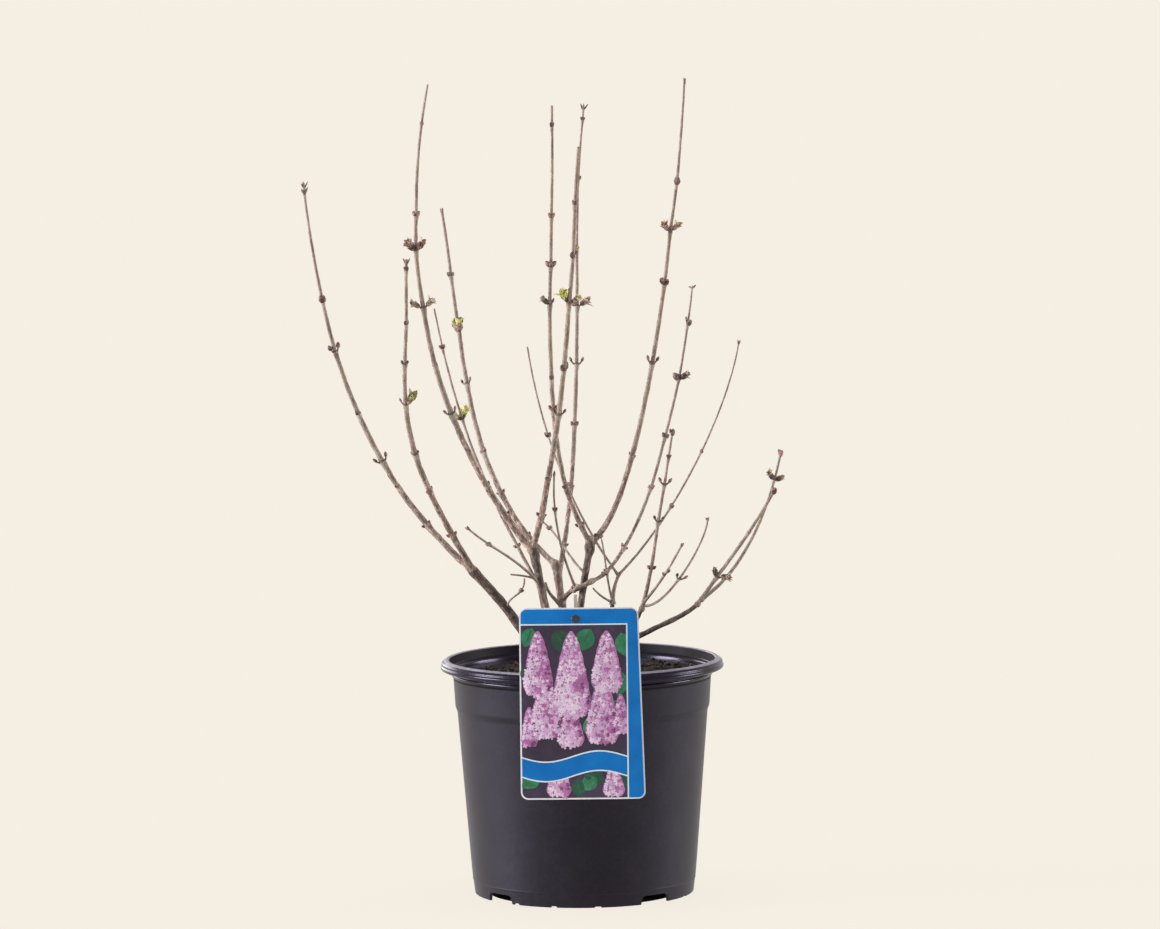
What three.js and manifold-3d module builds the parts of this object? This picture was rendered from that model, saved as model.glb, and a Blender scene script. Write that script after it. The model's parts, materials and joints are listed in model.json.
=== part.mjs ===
// Lilac bush in winter, growing in its nursery pot, with a picture label on a short stake.
// Millimetres, +Z up, the front of the plant faces -Y. The origin is the centre of the pot's flat underside.
import * as THREE from 'three';
import { mergeVertices } from 'three/addons/utils/BufferGeometryUtils.js';
import Module from 'manifold-3d';

const wasm = await Module();
wasm.setup();

// ---------------------------------------------------------------- driving dimensions
const GAP = 0.3; // clearance between neighbouring pieces

// The pot's outline as [radius, height] points: the outer wall with its shallow step, then the rolled rim
// over the crest and down to the stacking ledge inside it.
const POT = {
  wallLine: [[73.5, 0], [75.8, 20], [84, 123.5], [85.2, 126], [87, 145]],
  rimLine: [[89.5, 148], [94, 150], [95, 151.5], [95, 154], [94, 156.6], [92, 158], [90, 157], [89, 155]],
  ledgeLine: [[88.2, 148.9], [85.3, 147.4]],
  wall: 1.7,
  footRing: 2.2, // width of the ring that the pot stands on
  discRadius: 45, // middle of the floor, which stands on the ground with the foot ring
  raisedRadius: 57,
  raisedFloor: 7,
  segments: 36,
};
const NOTCH = { count: 4, first: -140, wide: 24, high: 6, deep: 8 }; // drain notches in the foot ring
const SOIL_TOP = 142;
const LABEL = {
  left: -41,
  rightAtFoot: 41,
  rightAtTop: 37,
  foot: 76,
  top: 202.5,
  thick: 0.8,
  corner: 6,
  stand: 95.4, // how far its back stands in front of the pot's axis
};
const STAKE = { x: -4, y: -76, wide: 2.6, deep: 1.6, foot: 104, top: 209, pegHeight: 195, pegRadius: 1.4 };
const PEG_HEAD = { radius: 2.6, thick: 0.9 };

const FLARE = 1.45; // how much wider a stem is at the soil than just above it
const FLARE_RISE = 7; // height over which the root flare dies away
const RING_STEP = 15; // length of limb between two rings of its surface
const SIDES = { stem: 8, shoot: 6, twig: 4, spur: 3, bud: 4, pin: 10 };
const ROOT_DEPTH = 0.7; // how deep the root of a bud or side twig is sunk into its stem
const FLOOR_STRETCH = 1.5; // keeps the clearance on the sloping part of the pot's floor
const CLOSED_TURN = 60; // turn of every other pair of closed buds
const SIDE_TWIG_TURN = 30; // turn of the buds on a side twig against those of its shoot
const TURN_SPREAD = 20; // random spread of a pair's turn, in degrees
const LEAN_SPREAD = 8; // and of its lean
const SIZE_RANGE = [0.85, 1.15]; // sizes of the buds against the table below
const TIP_BUD_RISE = 1; // how far the bud at the tip of a twig stands past it
const TIP_BUD_SWELL = 0.2; // and how much wider than the twig it is at least
const BUD_WAIST = 0.45; // where along it a bud is widest
const CLEAR_STEPS = 60; // places along a limb that are held clear of twigs
const TWIG_ROOM = 16; // a mass keeps within this distance of its own stem
const TWIG_CLEAR = 1; // and this far from every other limb

// Bud and side-twig sizes by kind: length, radius, lean from the stem in degrees.
const BUDS = {
  closed: { length: 3.6, radius: 1.15, lean: 32 },
  big: { length: 5.4, radius: 1.8, lean: 44 },
  open: { length: 8.8, radius: 2.4, lean: 38 },
  tip: { length: 4.2, radius: 1.3, lean: 0 },
};
const SPUR = { length: 6.5, radius: 0.65, lean: 50, budLength: 3.2, budRadius: 1.05, budSunk: 0.8 };

// Stems rise from the soil: foot [x, y], the two points their curve leans towards, tip, and the radius
// at foot and tip.
const STEMS = [
  {
    name: 'stem_left', foot: [-20, 4], bends: [[-34, 6, 170], [-51, 6, 194]],
    tip: [-72, 4, 216], radii: [3.3, 3],
  },
  {
    name: 'stem_fore', foot: [-17, -16], bends: [[-21, -18, 177], [-26, -20, 206]],
    tip: [-32, -22, 235], radii: [3.1, 2.4],
  },
  {
    name: 'stem_middle', foot: [-8, 12], bends: [[-10, 11, 170], [-13, 10, 195]],
    tip: [-17, 9, 220], radii: [2.9, 2.5],
  },
  {
    name: 'stem_centre', foot: [-4, -6], bends: [[-4, -6, 177], [1, -5, 207]],
    tip: [7, -4, 237], radii: [2.5, 2.3],
  },
  {
    name: 'stem_slim', foot: [13, 14], bends: [[17, 14, 160], [18, 14, 176]],
    tip: [21, 15, 192], radii: [1.8, 1.5],
  },
  {
    name: 'stem_right', foot: [20, -2], bends: [[25, -4, 161], [32, -8, 176]],
    tip: [40, -12, 191], radii: [1.9, 1.5],
  },
  {
    name: 'stem_outer', foot: [5, 2], bends: [[8, 4, 166], [54, 0, 175]],
    tip: [77, -14, 194], radii: [2, 1.5],
  },
];

// Shoots leave the limb named in from, at that share of its length. Up to entry a shoot is a bare bough,
// and from there on it is the stem of a mass of twigs. The lists say where along it its buds sit.
const SHOOTS = [
  {
    name: 'far_left', from: 'stem_left', at: 1,
    bends: [[-152, 18, 287], [-174, 32, 375]], tip: [-184, 36, 477],
    radii: [2.3, 0.6], entry: 0.29, turn: 10,
    closed: [0.447, 0.727, 0.975], spurs: [0.32], big: [0.603],
  },
  {
    name: 'left_fore', from: 'stem_left', at: 0.99,
    bends: [[-128, -30, 312], [-113, -72, 336]], tip: [-112, -84, 431],
    radii: [2.2, 0.8], entry: 0.33, turn: 0,
    closed: [0.365, 0.703, 0.83, 0.975], open: [0.553],
  },
  {
    name: 'mid_fore', from: 'stem_fore', at: 1,
    bends: [[-10, -60, 315], [-4, -108, 419]], tip: [1, -122, 504],
    radii: [2.1, 0.9], entry: 0.27, turn: 185,
    closed: [0.463, 0.733, 0.86], spurs: [0.353], open: [0.623],
  },
  {
    name: 'tall_left', from: 'stem_fore', at: 0.94,
    bends: [[-104, -40, 325], [-119, -62, 431]], tip: [-97, -70, 544],
    radii: [2.3, 0.6], entry: 0.28, turn: 15,
    closed: [0.43, 0.743, 0.923], spurs: [0.325], big: [0.673], open: [0.553],
  },
  {
    name: 'left_rear', from: 'stem_middle', at: 1,
    bends: [[-83, 40, 277], [-79, 90, 373]], tip: [-93, 108, 455],
    radii: [2, 0.8], entry: 0.3, turn: 130,
    closed: [0.353, 0.82], spurs: [0.537], open: [0.673],
  },
  {
    name: 'mid_rear', from: 'stem_middle', at: 0.88,
    bends: [[6, 60, 294], [-7, 112, 411]], tip: [5, 130, 525],
    radii: [1.7, 0.6], entry: 0.27, turn: 0,
    closed: [0.35, 0.713, 0.85], spurs: [0.477], big: [0.97], open: [0.597],
  },
  {
    name: 'tall_mid', from: 'stem_centre', at: 0.98,
    bends: [[-34, -20, 301], [-13, -44, 427]], tip: [-16, -52, 529],
    radii: [1.8, 0.7], entry: 0.28, turn: 180,
    closed: [0.363, 0.433, 0.77, 0.957], big: [0.67], open: [0.59],
  },
  {
    name: 'tall_right', from: 'stem_centre', at: 1,
    bends: [[44, -24, 265], [66, -58, 469]], tip: [71, -66, 546],
    radii: [2.1, 0.55], entry: 0.3, turn: 20,
    closed: [0.773], spurs: [0.46], big: [0.597], open: [0.687],
  },
  {
    name: 'cross', from: 'stem_middle', at: 0.66,
    bends: [[-6, 2, 207], [-2, -19, 206]], tip: [7, -14, 211],
    radii: [1.5, 1.5], entry: 1,
  },
  {
    name: 'right_rear', from: 'bough_cross', at: 1,
    bends: [[47, 20, 222], [73, 70, 356]], tip: [78, 92, 401],
    radii: [1.3, 0.55], entry: 0.3, turn: -5,
    closed: [0.393, 0.533, 0.85], big: [0.69],
  },
  {
    name: 'slim_left', from: 'stem_fore', at: 0.66,
    bends: [[-68, -8, 280], [-81, 20, 316]], tip: [-97, 34, 391],
    radii: [1.1, 0.5], entry: 0, turn: 5,
    closed: [0.36, 0.877], open: [0.617],
  },
  {
    name: 'right_low', from: 'stem_right', at: 1,
    bends: [[51, -35, 229], [53, -70, 277]], tip: [61, -82, 317],
    radii: [1.3, 0.6], entry: 0, turn: 0,
    closed: [0.85], spurs: [0.503, 0.703],
    twigs: [
      {
        at: 0.05, bends: [[50, -30, 207], [59, -52, 224]],
        tip: [67, -60, 240], radii: [0.9, 0.6], spurs: [0.537],
      },
      {
        at: 0.03, bends: [[57, 10, 186], [88, 40, 236]],
        tip: [86, 52, 246], radii: [0.8, 0.5], spurs: [0.422],
      },
    ],
  },
  {
    name: 'far_right', from: 'stem_outer', at: 1,
    bends: [[95, -24, 220], [114, -36, 246]], tip: [129, -42, 274],
    radii: [1.3, 0.8], entry: 0, turn: 0,
    closed: [0.638], open: [0.247],
    twigs: [
      {
        at: 0.05, bends: [[109, -10, 216], [127, 2, 257]],
        tip: [135, 8, 295], radii: [1.2, 0.6], spurs: [0.83],
      },
    ],
  },
  {
    name: 'right_slim', from: 'stem_slim', at: 1,
    bends: [[21, 16, 200], [23, 18, 207]], tip: [26, 19, 213],
    radii: [1.3, 0.9], entry: 0, turn: 0,
    twigs: [
      {
        at: 0.94, bends: [[61, 34, 245], [101, 62, 317]],
        tip: [109, 72, 365], radii: [0.75, 0.4], closed: [0.33, 0.547],
      },
      {
        at: 0.9, bends: [[-8, 34, 256], [-27, 74, 306]],
        tip: [-35, 86, 361], radii: [0.7, 0.45], closed: [0.628],
      },
      {
        at: 0.08, bends: [[17, 16, 207], [17, 20, 221]],
        tip: [14, 24, 235], radii: [0.6, 0.45], closed: [0.468],
      },
      {
        at: 0.05, bends: [[16, 12, 196], [12, 8, 199]],
        tip: [8, 5, 204], radii: [0.7, 0.5],
      },
    ],
  },
  {
    name: 'low_mid', from: 'bough_cross', at: 0.5,
    bends: [[-15, -18, 234], [-19, -38, 261]], tip: [-17, -44, 287],
    radii: [0.8, 0.45], entry: 0, turn: 0,
    closed: [0.66],
  },
  {
    name: 'low_centre', from: 'stem_centre', at: 0.76,
    bends: [[-7, 2, 222], [-16, 20, 241]], tip: [-27, 28, 248],
    radii: [0.75, 0.45], entry: 0, turn: 0,
    closed: [0.8],
  },
  {
    name: 'low_left', from: 'stem_fore', at: 0.7,
    bends: [[-41, -34, 229], [-60, -60, 239]], tip: [-75, -66, 253],
    radii: [0.9, 0.55], entry: 0, turn: 0,
    closed: [0.682],
    twigs: [
      {
        at: 0.1, bends: [[-36, -25, 216], [-41, -29, 217]],
        tip: [-47, -32, 218], radii: [0.6, 0.45],
      },
    ],
  },
  {
    name: 'low_outer', from: 'stem_left', at: 0.6,
    bends: [[-54, 0, 200], [-38, -4, 199]], tip: [-38, -6, 212],
    radii: [0.6, 0.45], entry: 0, turn: 0,
    closed: [0.7],
  },
  {
    name: 'low_fore', from: 'stem_middle', at: 0.62,
    bends: [[-18, 6, 197], [-23, 0, 202]], tip: [-24, -4, 209],
    radii: [1.3, 0.8], entry: 0, turn: 0,
  },
];

const COLOURS = {
  pot: { color: 0x37343a, roughness: 0.42, metalness: 0 },
  soil: { color: 0x2b2019, roughness: 1, metalness: 0 },
  bark: { color: 0x6e5c50, roughness: 0.82, metalness: 0 },
  twig: { color: 0x806d60, roughness: 0.75, metalness: 0 },
  label: { color: 0x1f74bd, roughness: 0.3, metalness: 0 },
  stake: { color: 0xb9b4a6, roughness: 0.5, metalness: 0 },
};

// ---------------------------------------------------------------- solids and meshes
function seededRandom(seed) {
  let state = seed >>> 0;
  return () => {
    state = (state + 0x6d2b79f5) >>> 0;
    let mixed = state;
    mixed = Math.imul(mixed ^ (mixed >>> 15), mixed | 1);
    mixed ^= mixed + Math.imul(mixed ^ (mixed >>> 7), mixed | 61);
    return ((mixed ^ (mixed >>> 14)) >>> 0) / 4294967296;
  };
}

function solidOf(geometry) {
  const bare = geometry.index ? geometry.toNonIndexed() : geometry.clone();
  bare.deleteAttribute('normal');
  bare.deleteAttribute('uv');
  const merged = mergeVertices(bare, 1e-4);
  const triangles = [];
  for (let i = 0; i < merged.index.count; i += 3) {
    const [a, b, c] = [0, 1, 2].map((corner) => merged.index.getX(i + corner));
    if (a !== b && b !== c && c !== a) triangles.push(a, b, c);
  }
  const vertProperties = Float32Array.from(merged.attributes.position.array);
  const build = (list) => new wasm.Manifold(new wasm.Mesh({ numProp: 3, vertProperties, triVerts: list }));
  const solid = build(Uint32Array.from(triangles));
  if (solid.volume() > 0) return solid;
  const flipped = triangles.map((_, i) => triangles[i - (i % 3) + [0, 2, 1][i % 3]]);
  return build(Uint32Array.from(flipped));
}

function largestPiece(solid) {
  return solid.decompose().reduce((best, piece) => (piece.volume() > best.volume() ? piece : best));
}

function meshOf(name, solid, look) {
  const { vertProperties, triVerts } = largestPiece(solid).getMesh();
  const geometry = new THREE.BufferGeometry();
  geometry.setAttribute('position', new THREE.BufferAttribute(Float32Array.from(vertProperties), 3));
  geometry.setIndex(new THREE.BufferAttribute(Uint32Array.from(triVerts), 1));
  geometry.computeVertexNormals();
  const mesh = new THREE.Mesh(geometry, new THREE.MeshStandardMaterial(COLOURS[look]));
  mesh.name = name;
  return mesh;
}

function boxSolid(width, depth, height, x, y, z, turn = 0) {
  const box = new THREE.BoxGeometry(width, depth, height);
  box.rotateZ(THREE.MathUtils.degToRad(turn));
  box.translate(x, y, z);
  return solidOf(box);
}

function pinSolid(radius, length, x, y, z) {
  const pin = new THREE.CylinderGeometry(radius, radius, length, SIDES.pin);
  pin.translate(x, y, z);
  return solidOf(pin);
}

// ---------------------------------------------------------------- pot, soil, label and stake
function insideWall(inset) {
  const inner = POT.wallLine.slice(1).map(([radius, height]) => [radius - POT.wall - inset, height]);
  return inner.reverse();
}

function insideFloor(inset) {
  const top = POT.wall + FLOOR_STRETCH * inset;
  const corner = POT.wall / 2;
  return [
    [POT.wallLine[0][0] - POT.wall / 2 - inset, POT.raisedFloor + top],
    [POT.raisedRadius - corner, POT.raisedFloor + top],
    [POT.discRadius - corner, top],
    [0, top],
  ];
}

function potProfile() {
  const footInside = POT.wallLine[0][0] - POT.footRing;
  const underside = [
    [0, 0],
    [POT.discRadius, 0],
    [POT.raisedRadius, POT.raisedFloor],
    [footInside, POT.raisedFloor],
    [footInside, 0],
  ];
  const outside = [...POT.wallLine, ...POT.rimLine, ...POT.ledgeLine];
  return [...underside, ...outside, ...insideWall(0), ...insideFloor(0)];
}

// A solid of revolution about the pot's axis, from [radius, height] points.
function turnedSolid(profile) {
  const points = profile.map(([radius, height]) => new THREE.Vector2(radius, height));
  return solidOf(new THREE.LatheGeometry(points, POT.segments).rotateX(Math.PI / 2));
}

function buildPot() {
  let pot = turnedSolid(potProfile());
  const [footRadius] = POT.wallLine[0];
  for (let i = 0; i < NOTCH.count; i += 1) {
    const bearing = NOTCH.first + (i * 360) / NOTCH.count;
    const angle = THREE.MathUtils.degToRad(bearing);
    const x = footRadius * Math.cos(angle);
    const y = footRadius * Math.sin(angle);
    pot = pot.subtract(boxSolid(NOTCH.deep, NOTCH.wide, NOTCH.high * 2, x, y, 0, bearing));
  }
  return meshOf('pot', pot, 'pot');
}

function soilRadiusAtTop() {
  const [[lowRadius, lowHeight], [highRadius, highHeight]] = POT.wallLine.slice(-2);
  const share = (SOIL_TOP - lowHeight) / (highHeight - lowHeight);
  return THREE.MathUtils.lerp(lowRadius, highRadius, share) - POT.wall - GAP;
}

function buildSoil() {
  const top = [[0, SOIL_TOP], [soilRadiusAtTop(), SOIL_TOP]];
  const soil = turnedSolid([...top, ...insideWall(GAP).slice(1), ...insideFloor(GAP)]);
  const height = SOIL_TOP - STAKE.foot + 2 * GAP;
  const middle = STAKE.foot - GAP + height / 2;
  const [width, depth] = [STAKE.wide + 2 * GAP, STAKE.deep + 2 * GAP];
  const pocket = boxSolid(width, depth, height + GAP, STAKE.x, STAKE.y, middle);
  return meshOf('soil', soil.subtract(pocket), 'soil');
}

function labelOutline() {
  const corners = [
    [LABEL.left, LABEL.foot],
    [LABEL.rightAtFoot, LABEL.foot],
    [LABEL.rightAtTop, LABEL.top],
    [LABEL.left, LABEL.top],
  ].map(([x, z]) => new THREE.Vector2(x, z));
  const outline = new THREE.Shape();
  corners.forEach((corner, i) => {
    const before = corners[(i + 3) % 4];
    const after = corners[(i + 1) % 4];
    const start = before.clone().sub(corner).setLength(LABEL.corner).add(corner);
    const end = after.clone().sub(corner).setLength(LABEL.corner).add(corner);
    if (i === 0) outline.moveTo(start.x, start.y);
    else outline.lineTo(start.x, start.y);
    outline.quadraticCurveTo(corner.x, corner.y, end.x, end.y);
  });
  outline.closePath();
  return outline;
}

function buildLabel() {
  const solidity = { depth: LABEL.thick, bevelEnabled: false, curveSegments: 4 };
  const plate = new THREE.ExtrudeGeometry(labelOutline(), solidity);
  plate.rotateX(Math.PI / 2);
  plate.translate(0, -LABEL.stand, 0);
  const hole = pinSolid(STAKE.pegRadius + GAP, LABEL.thick * 4, STAKE.x, -LABEL.stand, STAKE.pegHeight);
  return meshOf('label', solidOf(plate).subtract(hole), 'label');
}

function buildStake() {
  const height = STAKE.top - STAKE.foot;
  const stake = boxSolid(STAKE.wide, STAKE.deep, height, STAKE.x, STAKE.y, STAKE.foot + height / 2);
  const pegEnd = -LABEL.stand - LABEL.thick - GAP - PEG_HEAD.thick;
  const pegLength = STAKE.y - pegEnd;
  const peg = pinSolid(STAKE.pegRadius, pegLength, STAKE.x, pegEnd + pegLength / 2, STAKE.pegHeight);
  const headPlace = pegEnd + PEG_HEAD.thick / 2;
  const head = pinSolid(PEG_HEAD.radius, PEG_HEAD.thick, STAKE.x, headPlace, STAKE.pegHeight);
  return meshOf('label_stake', stake.add(peg).add(head), 'stake');
}

// ---------------------------------------------------------------- limbs
// A limb is a cubic curve with a radius that tapers along it. Its surface has a ring at each of its frames,
// which turn as little as possible along it, so that its sides run straight.
function makeLimb(start, row, sides, flare = 0) {
  const [first, second] = row.bends.map((bend) => new THREE.Vector3(...bend));
  const curve = new THREE.CubicBezierCurve3(start, first, second, new THREE.Vector3(...row.tip));
  const [thick, thin] = row.radii;
  const radius = (share) => {
    const rise = curve.getPoint(share).z - start.z;
    return THREE.MathUtils.lerp(thick, thin, share) + thick * flare * Math.exp(-rise / FLARE_RISE);
  };
  const limb = { curve, radius, sides, length: curve.getLength(), frames: [] };
  const count = Math.max(1, Math.round(limb.length / RING_STEP));
  for (let i = 0; i <= count; i += 1) limb.frames.push(frameAt(limb, i / count));
  return limb;
}

function frameAt(limb, share) {
  const below = limb.frames.filter((frame) => frame.share <= share).pop();
  const across = below ? below.across.clone() : new THREE.Vector3(1, 0, 0);
  const along = limb.curve.getTangent(share);
  across.addScaledVector(along, -across.dot(along)).normalize();
  const side = new THREE.Vector3().crossVectors(along, across);
  return { share, place: limb.curve.getPoint(share), along, across, side };
}

// The share of a limb's length that lies this distance past another share.
function shareAfter(limb, share, distance) {
  const step = 1e-3;
  const speed = limb.curve.getPoint(share).distanceTo(limb.curve.getPoint(share + step)) / step;
  return share + distance / speed;
}

function loftSolid(rings) {
  const sides = rings[0].length;
  const positions = [];
  const face = (...corners) => corners.forEach((corner) => positions.push(corner.x, corner.y, corner.z));
  const cap = (ring, outward) => {
    for (let i = 1; i < sides - 1; i += 1) {
      if (outward) face(ring[0], ring[i], ring[i + 1]);
      else face(ring[0], ring[i + 1], ring[i]);
    }
  };
  cap(rings[0], false);
  for (let row = 1; row < rings.length; row += 1) {
    for (let i = 0; i < sides; i += 1) {
      const j = (i + 1) % sides;
      const [low, high] = [rings[row - 1], rings[row]];
      face(low[i], low[j], high[j]);
      face(low[i], high[j], high[i]);
    }
  }
  cap(rings[rings.length - 1], true);
  const geometry = new THREE.BufferGeometry();
  geometry.setAttribute('position', new THREE.Float32BufferAttribute(positions, 3));
  return solidOf(geometry);
}

function mixed(first, firstAmount, second, secondAmount) {
  return first.clone().multiplyScalar(firstAmount).addScaledVector(second, secondAmount);
}

function ringAround(place, across, side, radius, sides) {
  return Array.from({ length: sides }, (_, i) => {
    const angle = (2 * Math.PI * (i + 0.5)) / sides;
    return place.clone()
      .addScaledVector(across, radius * Math.cos(angle))
      .addScaledVector(side, radius * Math.sin(angle));
  });
}

// The limb between two shares of its length, grown on every side by the given clearance.
function limbSolid(limb, from = 0, to = 1, grow = 0) {
  const shy = 1e-3;
  const between = limb.frames.filter((frame) => frame.share > from + shy && frame.share < to - shy);
  const frames = [frameAt(limb, from), ...between, frameAt(limb, to)];
  const overshoot = (i) => (i === 0 ? -grow : Number(i === frames.length - 1) * grow);
  const widen = grow / Math.cos(Math.PI / limb.sides);
  const rings = frames.map(({ share, place, along, across, side }, i) => {
    const centre = place.clone().addScaledVector(along, overshoot(i));
    return ringAround(centre, across, side, limb.radius(share) + widen, limb.sides);
  });
  return loftSolid(rings);
}

// A bud is a short spindle, rooted inside the twig that carries it.
function budSolid(place, direction, length, radius) {
  const along = direction.clone().normalize();
  const across = new THREE.Vector3(0, 0, 1).cross(along);
  if (across.lengthSq() < 1e-4) across.set(1, 0, 0);
  across.normalize();
  const side = new THREE.Vector3().crossVectors(along, across);
  const stations = [[0, 0], [BUD_WAIST, 1], [1, 0]];
  const rings = stations.map(([share, width]) => {
    const centre = place.clone().addScaledVector(along, share * length);
    return ringAround(centre, across, side, width * radius, SIDES.bud);
  });
  return loftSolid(rings);
}

function spurSolids(root, direction, size) {
  const tip = root.clone().addScaledVector(direction, size * SPUR.length);
  const half = root.clone().lerp(tip, 0.5).toArray();
  const row = { bends: [half, half], tip: tip.toArray(), radii: [SPUR.radius, SPUR.radius] };
  const spur = limbSolid(makeLimb(root, row, SIDES.spur));
  const budRoot = tip.clone().addScaledVector(direction, -SPUR.budSunk);
  return [spur, budSolid(budRoot, direction, SPUR.budLength, SPUR.budRadius)];
}

// ---------------------------------------------------------------- masses of twigs
// Buds and side twigs sit in opposite pairs, and each pair is turned from the one below it.
function pairDirections(frame, turn, lean) {
  const angle = THREE.MathUtils.degToRad(turn);
  const out = mixed(frame.across, Math.cos(angle), frame.side, Math.sin(angle));
  const tilt = THREE.MathUtils.degToRad(lean);
  return [1, -1].map((hand) => ({
    out: out.clone().multiplyScalar(hand),
    direction: mixed(frame.along, Math.cos(tilt), out, hand * Math.sin(tilt)),
  }));
}

function staysClear(points, own, samples) {
  return points.every((point) => {
    const nearOwn = samples.some((s) => s.owner === own && s.place.distanceTo(point) < TWIG_ROOM);
    const hit = samples.some((s) => s.owner !== own && s.place.distanceTo(point) < s.radius + TWIG_CLEAR);
    return nearOwn && !hit;
  });
}

function pairSolids(limb, kinds, share, turn, random, own, samples) {
  const size = THREE.MathUtils.lerp(...SIZE_RANGE, random());
  const lean = kinds[0] === 'spur' ? SPUR.lean : BUDS[kinds[0]].lean;
  const frame = frameAt(limb, share);
  const parts = [];
  pairDirections(frame, turn, lean + LEAN_SPREAD * (random() - 0.5)).forEach(({ out, direction }, hand) => {
    const kind = kinds[hand];
    const root = frame.place.clone().addScaledVector(out, Math.max(0, limb.radius(share) - ROOT_DEPTH));
    const reach = (kind === 'spur' ? SPUR.length + SPUR.budLength : BUDS[kind].length) * size;
    const points = [0.5, 0.75, 1].map((part) => root.clone().addScaledVector(direction, part * reach));
    if (!staysClear(points, own, samples)) return;
    if (kind === 'spur') parts.push(...spurSolids(root, direction, size));
    else parts.push(budSolid(root, direction, BUDS[kind].length * size, BUDS[kind].radius * size));
  });
  return parts;
}

// The pairs that a node of each kind carries: the kinds of the two buds, and the turn of the pair.
const PAIRS = {
  closed: [{ kinds: ['closed', 'closed'], turn: 0 }],
  spurs: [{ kinds: ['spur', 'spur'], turn: 0 }],
  open: [{ kinds: ['open', 'big'], turn: 0 }],
  big: [{ kinds: ['big', 'big'], turn: 20 }, { kinds: ['big', 'closed'], turn: 110 }],
};

function nodesOf(row) {
  const nodes = Object.keys(PAIRS).flatMap((kind) => (row[kind] ?? []).map((share) => ({ kind, share })));
  return nodes.sort((a, b) => a.share - b.share);
}

function twigsOn(limb, row, turn, random, own, samples) {
  const parts = [];
  nodesOf(row).forEach(({ kind, share }, i) => {
    const alternate = kind === 'closed' ? (i % 2) * CLOSED_TURN : 0;
    const nodeTurn = turn + alternate + TURN_SPREAD * (random() - 0.5);
    for (const pair of PAIRS[kind]) {
      parts.push(...pairSolids(limb, pair.kinds, share, nodeTurn + pair.turn, random, own, samples));
    }
  });
  const end = frameAt(limb, 1);
  const root = end.place.clone().addScaledVector(end.along, TIP_BUD_RISE - BUDS.tip.length);
  const radius = Math.max(BUDS.tip.radius, limb.radius(1) + TIP_BUD_SWELL);
  parts.push(budSolid(root, end.along, BUDS.tip.length, radius));
  return parts;
}

// ---------------------------------------------------------------- growing the plant
function growLimbs() {
  const limbs = new Map();
  for (const row of STEMS) {
    const start = new THREE.Vector3(row.foot[0], row.foot[1], SOIL_TOP + GAP);
    limbs.set(row.name, { row, parent: null, limb: makeLimb(start, row, SIDES.stem, FLARE - 1) });
  }
  for (const row of SHOOTS) {
    const parent = limbs.get(row.from.replace('bough_', ''));
    const limb = makeLimb(parent.limb.curve.getPoint(row.at), row, SIDES.shoot);
    const twigs = (row.twigs ?? []).map((twig) => (
      { row: twig, limb: makeLimb(limb.curve.getPoint(twig.at), twig, SIDES.twig) }
    ));
    limbs.set(row.name, { row, parent, limb, twigs });
  }
  return limbs;
}

function sampleLimbs(limbs) {
  const samples = [];
  for (const [owner, { limb, twigs = [] }] of limbs) {
    for (const one of [limb, ...twigs.map((twig) => twig.limb)]) {
      for (let i = 0; i <= CLEAR_STEPS; i += 1) {
        const share = i / CLEAR_STEPS;
        samples.push({ owner, place: one.curve.getPoint(share), radius: one.radius(share) });
      }
    }
  }
  return samples;
}

// What a limb is cut clear of: the limb it grows from, and the ones that left that limb before it.
function neighboursOf(name, limbs) {
  const { parent } = limbs.get(name);
  const before = [];
  for (const [other, entry] of limbs) {
    if (other === name) break;
    if (entry === parent || (parent && entry.parent === parent)) before.push(entry);
  }
  return before;
}

function cutClear(solid, neighbours) {
  return neighbours.reduce((left, { limb }) => left.subtract(limbSolid(limb, 0, 1, GAP)), solid);
}

// The slanted foot of a stem is cut flat just above the soil.
function buildStem(name, { limb }) {
  const [potWidth, depth] = [2 * POT.rimLine[0][0], SOIL_TOP];
  const soil = boxSolid(potWidth, potWidth, depth, 0, 0, SOIL_TOP + GAP - depth / 2);
  return meshOf(name, limbSolid(limb).subtract(soil), 'bark');
}

function buildShoot(name, entry, limbs, samples, seed) {
  const { row, limb, twigs } = entry;
  const neighbours = neighboursOf(name, limbs);
  const meshes = [];
  if (row.entry > 0) {
    const bough = limbSolid(limb, 0, row.entry);
    meshes.push(meshOf(`bough_${name}`, cutClear(bough, neighbours), 'bark'));
  }
  if (row.entry === 1) return meshes;
  const random = seededRandom(seed);
  const start = row.entry > 0 ? shareAfter(limb, row.entry, GAP) : 0;
  const parts = [limbSolid(limb, start), ...twigsOn(limb, row, row.turn, random, name, samples)];
  for (const twig of twigs) {
    parts.push(limbSolid(twig.limb));
    parts.push(...twigsOn(twig.limb, twig.row, row.turn + SIDE_TWIG_TURN, random, name, samples));
  }
  meshes.push(meshOf(`twigs_${name}`, cutClear(wasm.Manifold.union(parts), neighbours), 'twig'));
  return meshes;
}

const bush = new THREE.Group();
bush.add(buildPot(), buildSoil(), buildLabel(), buildStake());

const limbs = growLimbs();
const samples = sampleLimbs(limbs);
let seed = 41;
for (const [name, entry] of limbs) {
  seed += 1;
  if (entry.parent === null) bush.add(buildStem(name, entry));
  else bush.add(...buildShoot(name, entry, limbs, samples, seed));
}

export default bush;
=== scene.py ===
"""The finished look of a leafless lilac bush in its nursery pot.

Limbs, buds and side twigs grow by the construction's own rule, and are carried on to bark, bud scales and
opening leaves. Sizes are in millimetres and angles in degrees, unless a comment says otherwise. Each mesh is
scaled to metres when it is made. +Z is up, and the front of the plant faces -Y.
"""

import json
import math

import bmesh
import bpy
import numpy as np
from mathutils import Matrix, Vector, kdtree

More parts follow.
